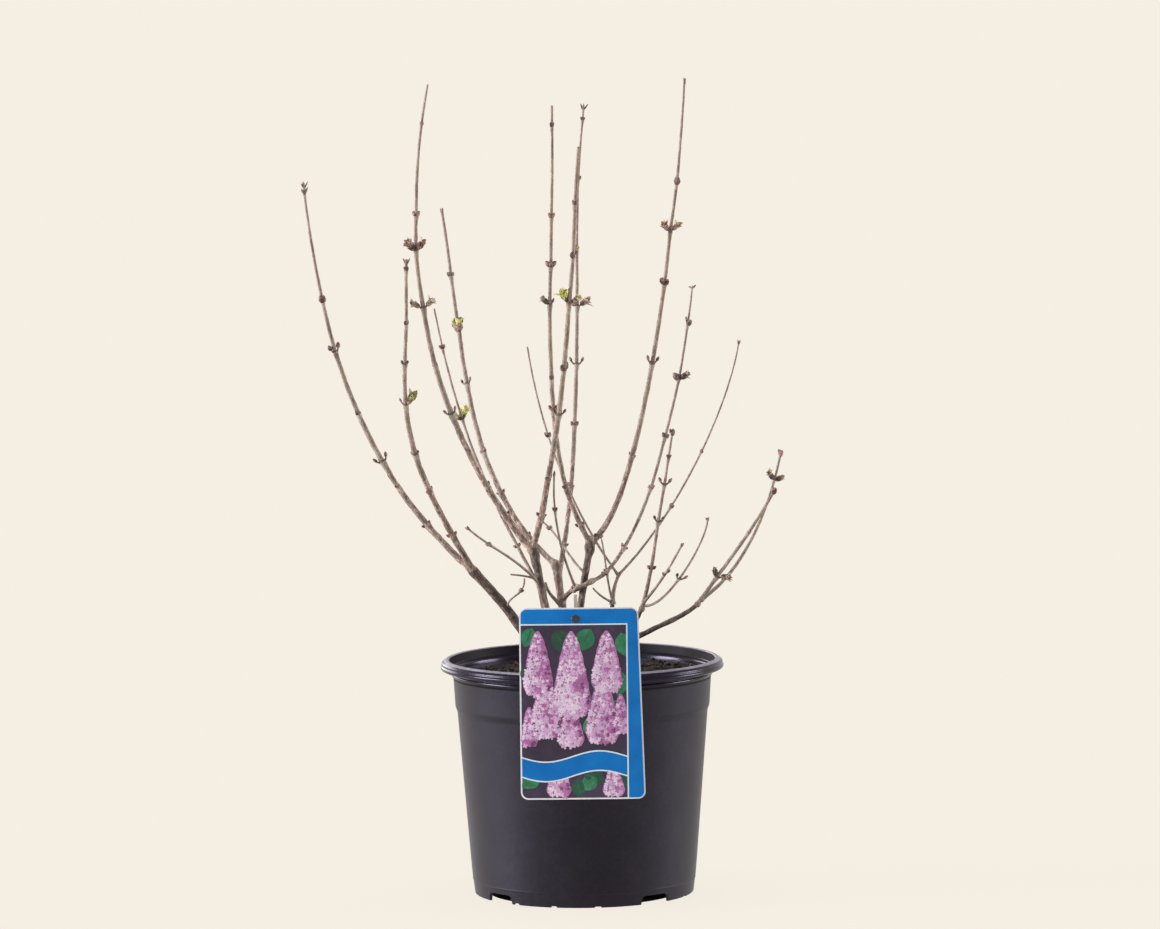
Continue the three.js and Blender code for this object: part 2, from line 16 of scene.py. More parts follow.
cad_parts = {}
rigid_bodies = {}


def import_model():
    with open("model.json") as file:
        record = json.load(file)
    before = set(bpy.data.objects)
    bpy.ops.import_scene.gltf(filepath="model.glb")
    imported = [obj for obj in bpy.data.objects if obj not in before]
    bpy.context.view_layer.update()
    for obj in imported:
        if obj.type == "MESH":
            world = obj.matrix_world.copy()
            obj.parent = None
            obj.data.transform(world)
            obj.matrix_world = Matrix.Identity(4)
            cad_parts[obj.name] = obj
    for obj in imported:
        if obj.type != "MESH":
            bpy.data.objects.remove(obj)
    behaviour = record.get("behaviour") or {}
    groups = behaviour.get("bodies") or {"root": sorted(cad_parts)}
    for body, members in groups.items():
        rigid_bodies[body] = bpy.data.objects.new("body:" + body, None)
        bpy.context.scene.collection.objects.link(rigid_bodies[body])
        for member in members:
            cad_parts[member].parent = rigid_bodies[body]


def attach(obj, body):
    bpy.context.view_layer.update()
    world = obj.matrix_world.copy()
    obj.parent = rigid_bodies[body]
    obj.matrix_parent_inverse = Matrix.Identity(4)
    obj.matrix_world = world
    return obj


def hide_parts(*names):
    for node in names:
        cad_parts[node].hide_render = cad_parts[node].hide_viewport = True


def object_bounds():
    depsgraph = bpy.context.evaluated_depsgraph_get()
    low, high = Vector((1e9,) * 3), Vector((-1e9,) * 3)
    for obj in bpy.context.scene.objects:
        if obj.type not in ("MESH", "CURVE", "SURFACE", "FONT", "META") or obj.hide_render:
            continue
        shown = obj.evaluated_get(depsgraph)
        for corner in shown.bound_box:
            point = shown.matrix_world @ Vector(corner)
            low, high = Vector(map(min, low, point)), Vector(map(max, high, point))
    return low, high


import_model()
cad_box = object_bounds()

MM = 0.001

# ---------------------------------------------------------------- driving dimensions
# The camera looks down by its pitch. Its place, lens and sensor are in millimetres.
CAMERA = {"place": (0, -3900, 632), "pitch": 5.04, "roll": -0.6, "lens": 181.55, "sensor": 36}

GAP = 0.3  # clearance between the construction's pieces
BOX_MARGIN = 0.05  # how far the outermost tips stay inside the construction's box
# The pot's outline as [radius, height] corners, each with the size of its rounding.
POT = {
    "underside": [(0, 0, 0), (45, 0, 1), (57, 7, 1), (71.3, 7, 0.6)],
    "foot": [(71.4, 0, 0.3), (73.5, 0, 0.8), (74.55, 8.8, 0.5), (74.95, 9.4, 0.3), (74.9, 10.2, 0.5)],
    "wall": [(75.8, 20, 2), (84, 123, 1.2), (85.3, 126.2, 1.2), (86.5, 145.8, 0.8)],
    "shoulder": [(87.6, 147.2, 0.7), (87.5, 148.5, 0.5), (86.8, 149.2, 0.4), (87.4, 150.3, 0.4)],
    "rim": [(93.4, 150.9, 0.8), (94.9, 151.7, 0.9), (95, 153.4, 0.8), (94.3, 154.2, 0.4),
            (94.3, 155.7, 0.5)],
    "crest": [(93.4, 156.5, 0.7), (91.4, 157.9, 0.9), (90, 158, 0.6), (89.2, 157.3, 0.5), (89, 155.6, 0.8)],
    "ledge": [(88.3, 151.8, 0.6), (85.7, 150.8, 0.7), (85.3, 148.6, 0.6), (83.4, 126, 1.2),
              (82.3, 122.8, 1.2)],
    "inside": [(74.1, 20, 2), (72.6, 9, 1), (56.2, 8.7, 1), (44.2, 1.7, 1), (0, 1.7, 0)],
}
POT_SEGMENTS = 216
# Where the pot's plastic changes its gloss and its paint: the heights of the lip's foot, of the top of the
# ledge, of the foot of the crest, whose pale paint is a painted highlight, and of the foot of the smooth
# inner wall, whose darker paint is painted shade, and the radius inside which a face is on the pot's inside.
GLOSS = {"lip": 146.6, "ledge_top": 152, "painted_highlight_foot": 156.9, "inner_foot": 140, "inner_radius": 89.3}
# Drain notches in the foot ring: how many, the first one's bearing, their size, the rounding of their upper
# corners, their width at the top against that at the foot, and the ring's radius.
NOTCH = {"count": 4, "first": -140, "wide": 24, "high": 6, "deep": 8, "corner": 2.5, "narrow": 0.92,
         "radius": 73.5}
# Small nicks in the foot ring: bearing, width, height.
NICKS = [(-168, 5, 1.4), (-128, 5, 1.3), (-106, 4.5, 1.1), (-83, 5, 0.9), (-24, 5, 1.3), (12, 5, 1.2),
         (64, 4, 1.1), (98, 5, 1), (150, 5, 1.3)]
SOIL = {
    "top": 142, "radius": 84.6,
    "inside": [(0, 2.2), (44, 2.2), (56, 9.2), (72.2, 9.6), (73.8, 20), (82.9, 125)],
}
HEAP = {"height": 6.4, "middle": (15, 35), "reach": (95, 85)}  # how the soil is heaped towards the back
LABEL = {
    "left": -41, "right_at_foot": 41, "right_at_top": 37, "foot": 76, "top": 202.5,
    "thick": 0.8, "corner": 5, "stand": 95.4, "curl": 0.7,
}
STAKE = {
    "x": -4, "y": -76, "wide": 2.6, "deep": 1.6, "foot": 104, "top": 209,
    "peg_height": 195, "peg_radius": 1.4,
}
PEG_HEAD = {"radius": 2.6, "thick": 0.9}

FLARE = 1.45  # how much wider a stem is at the soil than just above it
FLARE_RISE = 7  # height over which the root flare dies away
RING_STEP = 15  # length of limb between two of the construction's rings
LENGTH_STEPS = 200  # steps in which a limb's length is measured
KINK = 0.5  # how far a limb's line is moved at its nodes
ROOT_DEPTH = 0.7  # how deep the root of a bud is sunk into its stem
CLOSED_TURN = 60  # turn of every other pair of closed buds
SIDE_TWIG_TURN = 30  # turn of the buds on a side twig against those of its shoot
TURN_SPREAD = 20  # random spread of a pair's turn
LEAN_SPREAD = 8  # and of its lean
SIZE_RANGE = (0.85, 1.15)  # sizes of the buds against the table below
CLEAR_STEPS = 60  # places along a limb that are held clear of buds
TWIG_ROOM = 16  # a mass keeps within this distance of its own stem
TWIG_CLEAR = 1  # and this far from every other limb
FIRST_SEED = 41  # each limb's seed is one more than the last one's
DRESSING_SEED = 1000  # the dressing's random numbers start at seeds this far from the construction's
BUD_REACH = (0.5, 0.75, 1)  # shares of a bud's length at which it has to stay clear

# Bud sizes by kind: length, radius, lean from the stem in degrees.
BUDS = {
    "closed": {"length": 3.6, "radius": 1.15, "lean": 32},
    "big": {"length": 5.4, "radius": 1.8, "lean": 44},
    "open": {"length": 8.8, "radius": 2.4, "lean": 38},
}
SPUR = {"length": 6.5, "lean": 50, "bud_length": 3.2, "bud_sunk": 0.8}
# The pairs of buds at each kind of node, with their turn.
PAIRS = {
    "closed": [(("closed", "closed"), 0)],
    "spurs": [(("spur", "spur"), 0)],
    "open": [(("open", "big"), 0)],
    "big": [(("big", "big"), 20), (("big", "closed"), 110)],
}

# Stems rise from the soil: foot, the two points their curve leans towards, tip, and the radius at each end.
# A knot is where along the limb it sits, its height and its length.
STEMS = [
    {"name": "stem_left", "foot": (-20, 4), "bends": [(-34, 6, 170), (-51, 6, 194)], "tip": (-72, 4, 216),
     "radii": (3.3, 3)},
    {"name": "stem_fore", "foot": (-17, -16), "bends": [(-21, -18, 177), (-26, -20, 206)],
     "tip": (-32, -22, 235), "radii": (3.1, 2.4), "knots": [(0.9, 1.1, 5)]},
    {"name": "stem_middle", "foot": (-8, 12), "bends": [(-10, 11, 170), (-13, 10, 195)],
     "tip": (-17, 9, 220), "radii": (2.9, 2.5), "pale": True, "knots": [(0.97, 0.9, 4)]},
    {"name": "stem_centre", "foot": (-4, -6), "bends": [(-4, -6, 177), (1, -5, 207)], "tip": (7, -4, 237),
     "radii": (2.5, 2.3), "knots": [(0.95, 1.8, 4)]},
    {"name": "stem_slim", "foot": (13, 14), "bends": [(17, 14, 160), (18, 14, 176)], "tip": (21, 15, 192),
     "radii": (1.8, 1.5)},
    {"name": "stem_right", "foot": (20, -2), "bends": [(25, -4, 161), (32, -8, 176)], "tip": (40, -12, 191),
     "radii": (1.9, 1.5)},
    {"name": "stem_outer", "foot": (5, 2), "bends": [(8, 4, 166), (54, 0, 175)], "tip": (77, -14, 194),
     "radii": (2, 1.5)},
]

# Shoots leave the limb named in from, at that share of its length. Up to entry a shoot is a bare bough. The
# lists say where along it its buds sit, and scars where a bough has the bare nodes of older years. Dress
# says what grows at a node's buds where that isn't a plain closed bud.
SHOOTS = [
    {"name": "far_left", "from": "stem_left", "at": 1, "bends": [(-152, 18, 287), (-174, 32, 375)],
     "tip": (-184, 36, 477), "radii": (2.3, 0.6), "entry": 0.29, "turn": 10,
     "closed": [0.447, 0.727, 0.975], "spurs": [0.32], "big": [0.603], "scars": [0.143, 0.253],
     "end": "crown",
     "dress": {0.603: ("knob", "knob", "small", "small"), 0.727: ("plump", "plump"),
               0.975: ("slim", "slim")}},
    {"name": "left_fore", "from": "stem_left", "at": 0.99, "bends": [(-128, -30, 312), (-113, -72, 336)],
     "tip": (-112, -84, 431), "radii": (2.2, 0.8), "entry": 0.33, "turn": 0,
     "closed": [0.365, 0.703, 0.83, 0.975], "open": [0.553], "scars": [0.097, 0.233], "end": "fork",
     "dress": {0.553: ("olive", "horn"), 0.975: ("small", "small")}},
    {"name": "mid_fore", "from": "stem_fore", "at": 1, "bends": [(-10, -60, 315), (-4, -108, 419)],
     "tip": (1, -122, 504), "radii": (2.1, 0.9), "entry": 0.27, "turn": 185,
     "closed": [0.463, 0.733, 0.86], "spurs": [0.353], "open": [0.623], "scars": [0.09, 0.19],
     "end": "point",
     "dress": {0.623: ("lime", "tinged"), 0.463: ("plump", "plump"), 0.733: ("plump", "clump")}},
    {"name": "tall_left", "from": "stem_fore", "at": 0.94, "bends": [(-104, -40, 325), (-119, -62, 431)],
     "tip": (-97, -70, 544), "radii": (2.3, 0.6), "entry": 0.28, "turn": 15,
     "closed": [0.43, 0.743, 0.923], "spurs": [0.325], "big": [0.673], "open": [0.553],
     "scars": [0.093, 0.153, 0.24], "end": "point",
     "dress": {0.553: ("tinged", "tinged"), 0.673: ("clump", "clump", "tinged", "dark")}},
    {"name": "left_rear", "from": "stem_middle", "at": 1, "bends": [(-83, 40, 277), (-79, 90, 373)],
     "tip": (-93, 108, 455), "radii": (2, 0.8), "entry": 0.3, "turn": 130,
     "closed": [0.353, 0.82], "spurs": [0.537], "open": [0.673], "scars": [0.1, 0.237], "end": "twin",
     "dress": {0.673: ("ball", "ball")}},
    {"name": "mid_rear", "from": "stem_middle", "at": 0.88, "bends": [(6, 60, 294), (-7, 112, 411)],
     "tip": (5, 130, 525), "radii": (1.7, 0.6), "entry": 0.27, "turn": 0,
     "closed": [0.35, 0.713, 0.85], "spurs": [0.477], "big": [0.97], "open": [0.597],
     "scars": [0.08, 0.217], "end": "crown",
     "dress": {0.597: ("tinged", "dark"), 0.97: ("small", "small", "small", "small")}},
    {"name": "tall_mid", "from": "stem_centre", "at": 0.98, "bends": [(-34, -20, 301), (-13, -44, 427)],
     "tip": (-16, -52, 529), "radii": (1.8, 0.7), "entry": 0.28, "turn": 180,
     "closed": [0.363, 0.433, 0.77, 0.957], "big": [0.67], "open": [0.59], "scars": [0.06, 0.173],
     "end": "point", "dress": {0.59: ("clump", "horn")}},
    {"name": "tall_right", "from": "stem_centre", "at": 1, "bends": [(44, -24, 265), (66, -58, 469)],
     "tip": (71, -66, 546), "radii": (2.1, 0.55), "entry": 0.3, "turn": 20,
     "closed": [0.773], "spurs": [0.46], "big": [0.597], "open": [0.687], "scars": [0.033, 0.19, 0.28],
     "end": "club",
     "dress": {0.687: ("tinged", "tinged"), 0.597: ("closed", "dark", "closed", "closed"),
               0.773: ("plump", "plump")}},
    {"name": "cross", "from": "stem_middle", "at": 0.66, "bends": [(-6, 2, 207), (-2, -19, 206)],
     "tip": (7, -14, 211), "radii": (1.5, 1.5), "entry": 1, "scars": [0.45], "knots": [(0.5, 1.7, 3.5)]},
    {"name": "right_rear", "from": "bough_cross", "at": 1, "bends": [(47, 20, 222), (73, 70, 356)],
     "tip": (78, 92, 401), "radii": (1.3, 0.55), "entry": 0.3, "turn": -5,
     "closed": [0.393, 0.533, 0.85], "big": [0.69], "scars": [0.07, 0.2], "end": "tee",
     "dress": {0.69: ("clump", "plump", "closed", "closed"), 0.85: ("plump", "horn")}},
    {"name": "slim_left", "from": "stem_fore", "at": 0.66, "bends": [(-68, -8, 280), (-81, 20, 316)],
     "tip": (-97, 34, 391), "radii": (1.1, 0.5), "entry": 0, "turn": 5,
     "closed": [0.36, 0.877], "open": [0.617], "scars": [0.14], "end": "point",
     "dress": {0.617: ("lime", "tuft")}},
    {"name": "right_low", "from": "stem_right", "at": 1, "bends": [(51, -35, 229), (53, -70, 277)],
     "tip": (61, -82, 317), "radii": (1.3, 0.6), "entry": 0, "turn": 0,
     "closed": [0.85], "spurs": [0.503, 0.703], "scars": [0.25], "end": "knob",
     "dress": {0.85: ("small", "small")},
     "twigs": [
         {"at": 0.05, "bends": [(50, -30, 207), (59, -52, 224)], "tip": (67, -60, 240), "radii": (0.9, 0.6),
          "spurs": [0.537], "end": "twin"},
         {"at": 0.03, "bends": [(57, 10, 186), (88, 40, 236)], "tip": (86, 52, 246), "radii": (0.8, 0.5),
          "spurs": [0.422], "end": "twin"},
     ]},
    {"name": "far_right", "from": "stem_outer", "at": 1, "bends": [(95, -24, 220), (114, -36, 246)],
     "tip": (129, -42, 274), "radii": (1.3, 0.8), "entry": 0, "turn": 0,
     "closed": [0.638], "open": [0.247], "end": "knob",
     "dress": {0.247: ("tinged", "dark")},
     "twigs": [
         {"at": 0.05, "bends": [(109, -10, 216), (127, 2, 257)], "tip": (135, 8, 295), "radii": (1.2, 0.6),
          "spurs": [0.83], "end": "knob", "dress": {0.83: ("clump", "clump")}},
     ]},
    {"name": "right_slim", "from": "stem_slim", "at": 1, "bends": [(21, 16, 200), (23, 18, 207)],
     "tip": (26, 19, 213), "radii": (1.3, 0.9), "entry": 0, "turn": 0, "end": "club",
     "twigs": [
         {"at": 0.94, "bends": [(61, 34, 245), (101, 62, 317)], "tip": (109, 72, 365), "radii": (0.75, 0.4),
          "closed": [0.33, 0.547], "end": "twin"},
         {"at": 0.9, "bends": [(-8, 34, 256), (-27, 74, 306)], "tip": (-35, 86, 361), "radii": (0.7, 0.45),
          "closed": [0.628], "end": "point"},
         {"at": 0.08, "bends": [(17, 16, 207), (17, 20, 221)], "tip": (14, 24, 235), "radii": (0.6, 0.45),
          "closed": [0.468], "end": "point"},
         {"at": 0.05, "bends": [(16, 12, 196), (12, 8, 199)], "tip": (8, 5, 204), "radii": (0.7, 0.5),
          "end": "point"},
     ]},
    {"name": "low_mid", "from": "bough_cross", "at": 0.5, "bends": [(-15, -18, 234), (-19, -38, 261)],
     "tip": (-17, -44, 287), "radii": (0.8, 0.45), "entry": 0, "turn": 0, "closed": [0.66], "end": "club"},
    {"name": "low_centre", "from": "stem_centre", "at": 0.76, "bends": [(-7, 2, 222), (-16, 20, 241)],
     "tip": (-27, 28, 248), "radii": (0.75, 0.45), "entry": 0, "turn": 0, "closed": [0.8], "end": "club"},
    {"name": "low_left", "from": "stem_fore", "at": 0.7, "bends": [(-41, -34, 229), (-60, -60, 239)],
     "tip": (-75, -66, 253), "radii": (0.9, 0.55), "entry": 0, "turn": 0, "closed": [0.682], "end": "twin",
     "twigs": [
         {"at": 0.1, "bends": [(-36, -25, 216), (-41, -29, 217)], "tip": (-47, -32, 218),
          "radii": (0.6, 0.45), "end": "bare"},
     ]},
    {"name": "low_outer", "from": "stem_left", "at": 0.6, "bends": [(-54, 0, 200), (-38, -4, 199)],
     "tip": (-38, -6, 212), "radii": (0.6, 0.45), "entry": 0, "turn": 0, "closed": [0.7], "end": "point"},
    {"name": "low_fore", "from": "stem_middle", "at": 0.62, "bends": [(-18, 6, 197), (-23, 0, 202)],
     "tip": (-24, -4, 209), "radii": (1.3, 0.8), "entry": 0, "turn": 0, "end": "point"},
]

# How a shoot can end: the buds at its tip as (lean in degrees, turn, length, girth against the tip's).
ENDS = {
    "bare": [],
    "point": [(0, 0, 3.4, 0.75)],
    "club": [(0, 0, 4.0, 1.2), (26, 90, 2.4, 0.75), (26, 270, 2.2, 0.7)],
    "twin": [(15, 0, 3.5, 0.9), (17, 180, 3.2, 0.85)],
    "tee": [(0, 0, 2.6, 0.8), (58, 0, 3.0, 0.8), (62, 180, 3.2, 0.8)],
    "crown": [(0, 0, 5.6, 0.62), (31, 0, 5.6, 0.58), (23, 180, 5.2, 0.58), (26, 95, 4.4, 0.5)],
    "fork": [(27, 0, 4.8, 0.62), (25, 180, 4.8, 0.62)],
    "knob": [(8, 0, 4.4, 1.7), (30, 180, 3.8, 1.5), (28, 80, 3.4, 1.3)],
}
TIP_GIRTH = (0.35, 0.7)  # a tip bud's radius: this much, and this share of its twig's radius

# What breaks out of a bud: how far it reaches, the scales' length and girth, the stalk's length, the leaves'
# width and spread, how many there are and the slots they are dealt from, the slot of the scales, and how far
# it leans away from the stem.
DRESSES = {
    "lime": {"reach": 11.4, "scales": 5.6, "girth": 1.6, "stalk": 1.2, "width": 5.2, "spread": 1.05,
             "leaves": 20, "slots": (0, 0, 4, 2), "brown": 1, "aside": -0.2},
    "tuft": {"reach": 9.4, "scales": 4.4, "girth": 1.45, "stalk": 1.0, "width": 4.6, "spread": 1.1,
             "leaves": 16, "slots": (0, 0, 4, 1, 2), "brown": 1, "aside": 0},
    "ball": {"reach": 9.6, "scales": 6, "girth": 1.9, "stalk": 1.2, "width": 4.8, "spread": 0.9,
             "leaves": 18, "slots": (0, 1, 5, 0, 1), "brown": 0, "aside": -0.42},
    "olive": {"reach": 12.6, "scales": 6.6, "girth": 2.1, "stalk": 1.6, "width": 5.2, "spread": 0.95,
              "leaves": 18, "slots": (1, 1, 0, 5), "brown": 1, "aside": -0.2},
    "tinged": {"reach": 9.6, "scales": 4.6, "girth": 1.9, "stalk": 2.4, "width": 4, "spread": 1.25,
               "leaves": 16, "slots": (6, 3, 6, 5, 2), "brown": 2, "aside": 0.4},
    "dark": {"reach": 6.8, "scales": 5.2, "girth": 1.7, "stalk": 1.2, "width": 2.6, "spread": 0.8,
             "leaves": 7, "slots": (5, 1, 3), "brown": 1, "aside": 0},
    "clump": {"reach": 8, "scales": 4.8, "girth": 1.9, "stalk": 1.6, "width": 3.6, "spread": 1.1,
              "leaves": 13, "slots": (5, 1, 6, 3, 6), "brown": 1, "aside": 0.1},
}
# Closed buds by dress: length and radius. Stalked ones have their stalk's length and radius first.
CLOSED = {"closed": (4.6, 1.4), "plump": (5.8, 1.75), "slim": (4.8, 0.62), "small": (2.4, 0.85)}
STALKED = {"spur": (4.5, 0.65, 3.4, 0.95), "horn": (4.2, 0.5, 3.2, 0.72), "knob": (4.6, 0.6, 3.5, 1.25)}
DORMANT = {"length": 2.7, "radius": 0.88, "lean": 38}  # the small buds at the bare nodes of older wood
SCAR_TURN = 50  # degrees from one bare node to the next

# ---------------------------------------------------------------- repeatable randomness
WORD = 0xFFFFFFFF  # keeps a number within 32 bits


class Seeded:
    """The construction's own stream of random numbers from 0 to 1 (mulberry32)."""

    def __init__(self, seed):
        self.state = seed & WORD

    def __call__(self):
        self.state = (self.state + 0x6D2B79F5) & WORD
        mixed = self.state
        mixed = ((mixed ^ (mixed >> 15)) * (mixed | 1)) & WORD
        mixed ^= (mixed + (mixed ^ (mixed >> 7)) * (mixed | 61)) & WORD
        return (mixed ^ (mixed >> 14)) / 4294967296


def lattice_values(cells, seed):
    """A repeatable random number from -1 to 1 for each whole-numbered cell."""
    mixed = cells @ np.array([374761393, 668265263, 1103515245]) + seed * 1274126177
    mixed = (mixed ^ (mixed >> 13)) * 1274126177
    mixed = (mixed ^ (mixed >> 16)) & 0xFFFFFF
    return mixed / 0x7FFFFF - 1


def noise(points, seed=0):
    """Smooth noise from -1 to 1 at points whose unit is one cell."""
    low = np.floor(points).astype(np.int64)
    part = points - low
    ease = part * part * (3 - 2 * part)
    total = np.zeros(points.shape[:-1])
    for corner in np.ndindex(2, 2, 2):
        weight = np.prod(np.where(corner, ease, 1 - ease), axis=-1)
        total += weight * lattice_values(low + np.array(corner), seed)
    return total


def between(low, high, random):
    return lerp(low, high, random.random())


def within(amount, random):
    """A random number from -amount to amount."""
    return between(-amount, amount, random)


# ---------------------------------------------------------------- directions and places
def unit(vectors):
    return vectors / np.linalg.norm(vectors, axis=-1, keepdims=True)


def lerp(start, end, share):
    return start + (end - start) * share


def swung(start, towards, angle):
    """The direction at this angle, in radians, from one direction towards another at a right angle."""
    return start * np.cos(angle) + towards * np.sin(angle)


def circle(count):
    """As many angles in radians, evenly round a circle."""
    return np.linspace(0, 2 * np.pi, count, endpoint=False)


def polar(radius, angles, height):
    """Points from their distance to the Z axis, their angle round it in radians and their height."""
    return np.stack(np.broadcast_arrays(radius * np.cos(angles), radius * np.sin(angles), height), -1)


def rotated(points, turn):
    """Points of a plane, turned about its origin by an angle in radians."""
    cosine, sine = math.cos(turn), math.sin(turn)
    return points @ np.array([[cosine, sine], [-sine, cosine]])


# ---------------------------------------------------------------- meshes
ROUND_STEPS = 4  # points of a rounded corner
MOST_ROUNDED = 0.45  # the share of a side that the rounding of one corner takes at most


class Shape:
    """Vertices and faces gathered for one joined mesh, in millimetres."""

    def __init__(self):
        self.vertices, self.faces, self.slots = [], [], []
        self.count = 0

    def add(self, vertices, faces, slot=0, slots=None):
        self.vertices.append(np.asarray(vertices, float))
        for face in faces:
            self.faces.append([self.count + corner for corner in face])
        self.slots += [slot] * len(faces) if slots is None else list(slots)
        self.count += len(vertices)

    def mesh(self, name, scale=MM, kept_in=None):
        """The mesh, with its outermost points kept within a box of two corners in millimetres."""
        vertices = np.concatenate(self.vertices)
        if kept_in is not None:
            vertices = np.clip(vertices, *kept_in)
        made = bpy.data.meshes.new(name)
        made.from_pydata((vertices * scale).tolist(), [], self.faces)
        made.polygons.foreach_set("material_index", self.slots)
        faced_outward(made)
        return made

    def piece(self, name, materials, slot, nodes=(), sharp=40, kept_in=None):
        return finished_piece(self.mesh(name, kept_in=kept_in), name, materials, nodes, sharp)


def faced_outward(mesh):
    work = bmesh.new()
    work.from_mesh(mesh)
    bmesh.ops.recalc_face_normals(work, faces=work.faces)
    work.to_mesh(mesh)
    work.free()


def placed(name, data):
    """A new object of the scene that shows this mesh, light or camera."""
    made = bpy.data.objects.new(name, data)
    bpy.context.scene.collection.objects.link(made)
    return made


def finished_piece(mesh, name, materials, nodes=(), sharp=40):
    """Makes a mesh a piece of the part: shaded smooth up to an edge angle, and standing for these nodes."""
    mesh.name = name
    mesh.polygons.foreach_set("use_smooth", [True] * len(mesh.polygons))
    mesh.set_sharp_from_angle(angle=math.radians(sharp))
    for one in materials:
        mesh.materials.append(one)
    piece = placed(name, mesh)
    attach(piece, "root")
    if nodes:
        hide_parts(*nodes)
    return piece


def without_modifiers(body, *helpers):
    """The mesh that an object's modifiers make, once the object and its helpers are removed."""
    depsgraph = bpy.context.evaluated_depsgraph_get()
    made = bpy.data.meshes.new_from_object(body.evaluated_get(depsgraph))
    for one in (body, *helpers):
        bpy.data.objects.remove(one)
    return made


def grid_faces(rows, columns, wrap=False):
    """Quads between the rows and columns of a grid of vertices, closed round each row if wrap is set."""
    faces = []
    for row in range(rows - 1):
        for column in range(columns if wrap else columns - 1):
            after = (column + 1) % columns
            low, high = row * columns, (row + 1) * columns
            faces.append((low + column, low + after, high + after, high + column))
    return faces


def capped(rings, first, last):
    """A closed solid of rings of points, shaped (rows, columns, 3), with a point that closes each end."""
    rows, columns = rings.shape[:2]
    faces = grid_faces(rows, columns, wrap=True)
    for i in range(columns):
        after = (i + 1) % columns
        faces.append((after, i, rows * columns))
        faces.append(((rows - 1) * columns + i, (rows - 1) * columns + after, rows * columns + 1))
    return np.vstack([rings.reshape(-1, 3), [first], [last]]), faces


def prism(rings):
    """A closed solid of rings of points, shaped (rows, columns, 3), with one face at each end."""
    rows, columns = rings.shape[:2]
    ends = [tuple(reversed(range(columns))), tuple(range((rows - 1) * columns, rows * columns))]
    return rings.reshape(-1, 3), grid_faces(rows, columns, wrap=True) + ends


def tube(places, across, side, radii):
    """A closed tube: one ring at each place, with a row of radii for its points."""
    angles = circle(radii.shape[1])[:, None]
    out = swung(across[:, None], side[:, None], angles)
    return capped(places[:, None] + out * radii[..., None], places[0], places[-1])


def shell(front, back):
    """A closed thin plate between two grids of points, shaped (rows, columns, 3)."""
    rows, columns = front.shape[:2]
    count = rows * columns
    faces = grid_faces(rows, columns)
    faces += [tuple(count + corner for corner in reversed(face)) for face in grid_faces(rows, columns)]
    edge = list(range(columns))
    edge += [row * columns + columns - 1 for row in range(1, rows)]
    edge += [(rows - 1) * columns + column for column in range(columns - 2, -1, -1)]
    edge += [row * columns for row in range(rows - 2, 0, -1)]
    for start, end in zip(edge, edge[1:] + edge[:1]):
        faces.append((end, start, count + start, count + end))
    return np.vstack([front.reshape(-1, 3), back.reshape(-1, 3)]), faces


def turned(outline, segments):
    """A solid of revolution from (radius, height) points that start and end on the axis."""
    rings = np.array([polar(radius, circle(segments), height) for radius, height in outline[1:-1]])
    return capped(rings, (0, 0, outline[0][1]), (0, 0, outline[-1][1]))


def rounded(corners):
    """An outline whose corners are rounded by the size that is each corner's third number."""
    outline = []
    for i, (*corner, size) in enumerate(corners):
        if size == 0 or i in (0, len(corners) - 1):
            outline.append(tuple(corner))
            continue
        point = np.array(corner, float)
        sides = [np.array(other[:2], float) - point for other in (corners[i - 1], corners[i + 1])]
        start, end = [point + unit(side) * min(size, np.linalg.norm(side) * MOST_ROUNDED) for side in sides]
        for share in np.linspace(0, 1, ROUND_STEPS):
            bend = lerp(lerp(start, point, share), lerp(point, end, share), share)
            outline.append(tuple(bend))
    return outline


# ---------------------------------------------------------------- limbs
TINY = 1e-9  # well below any size that shows


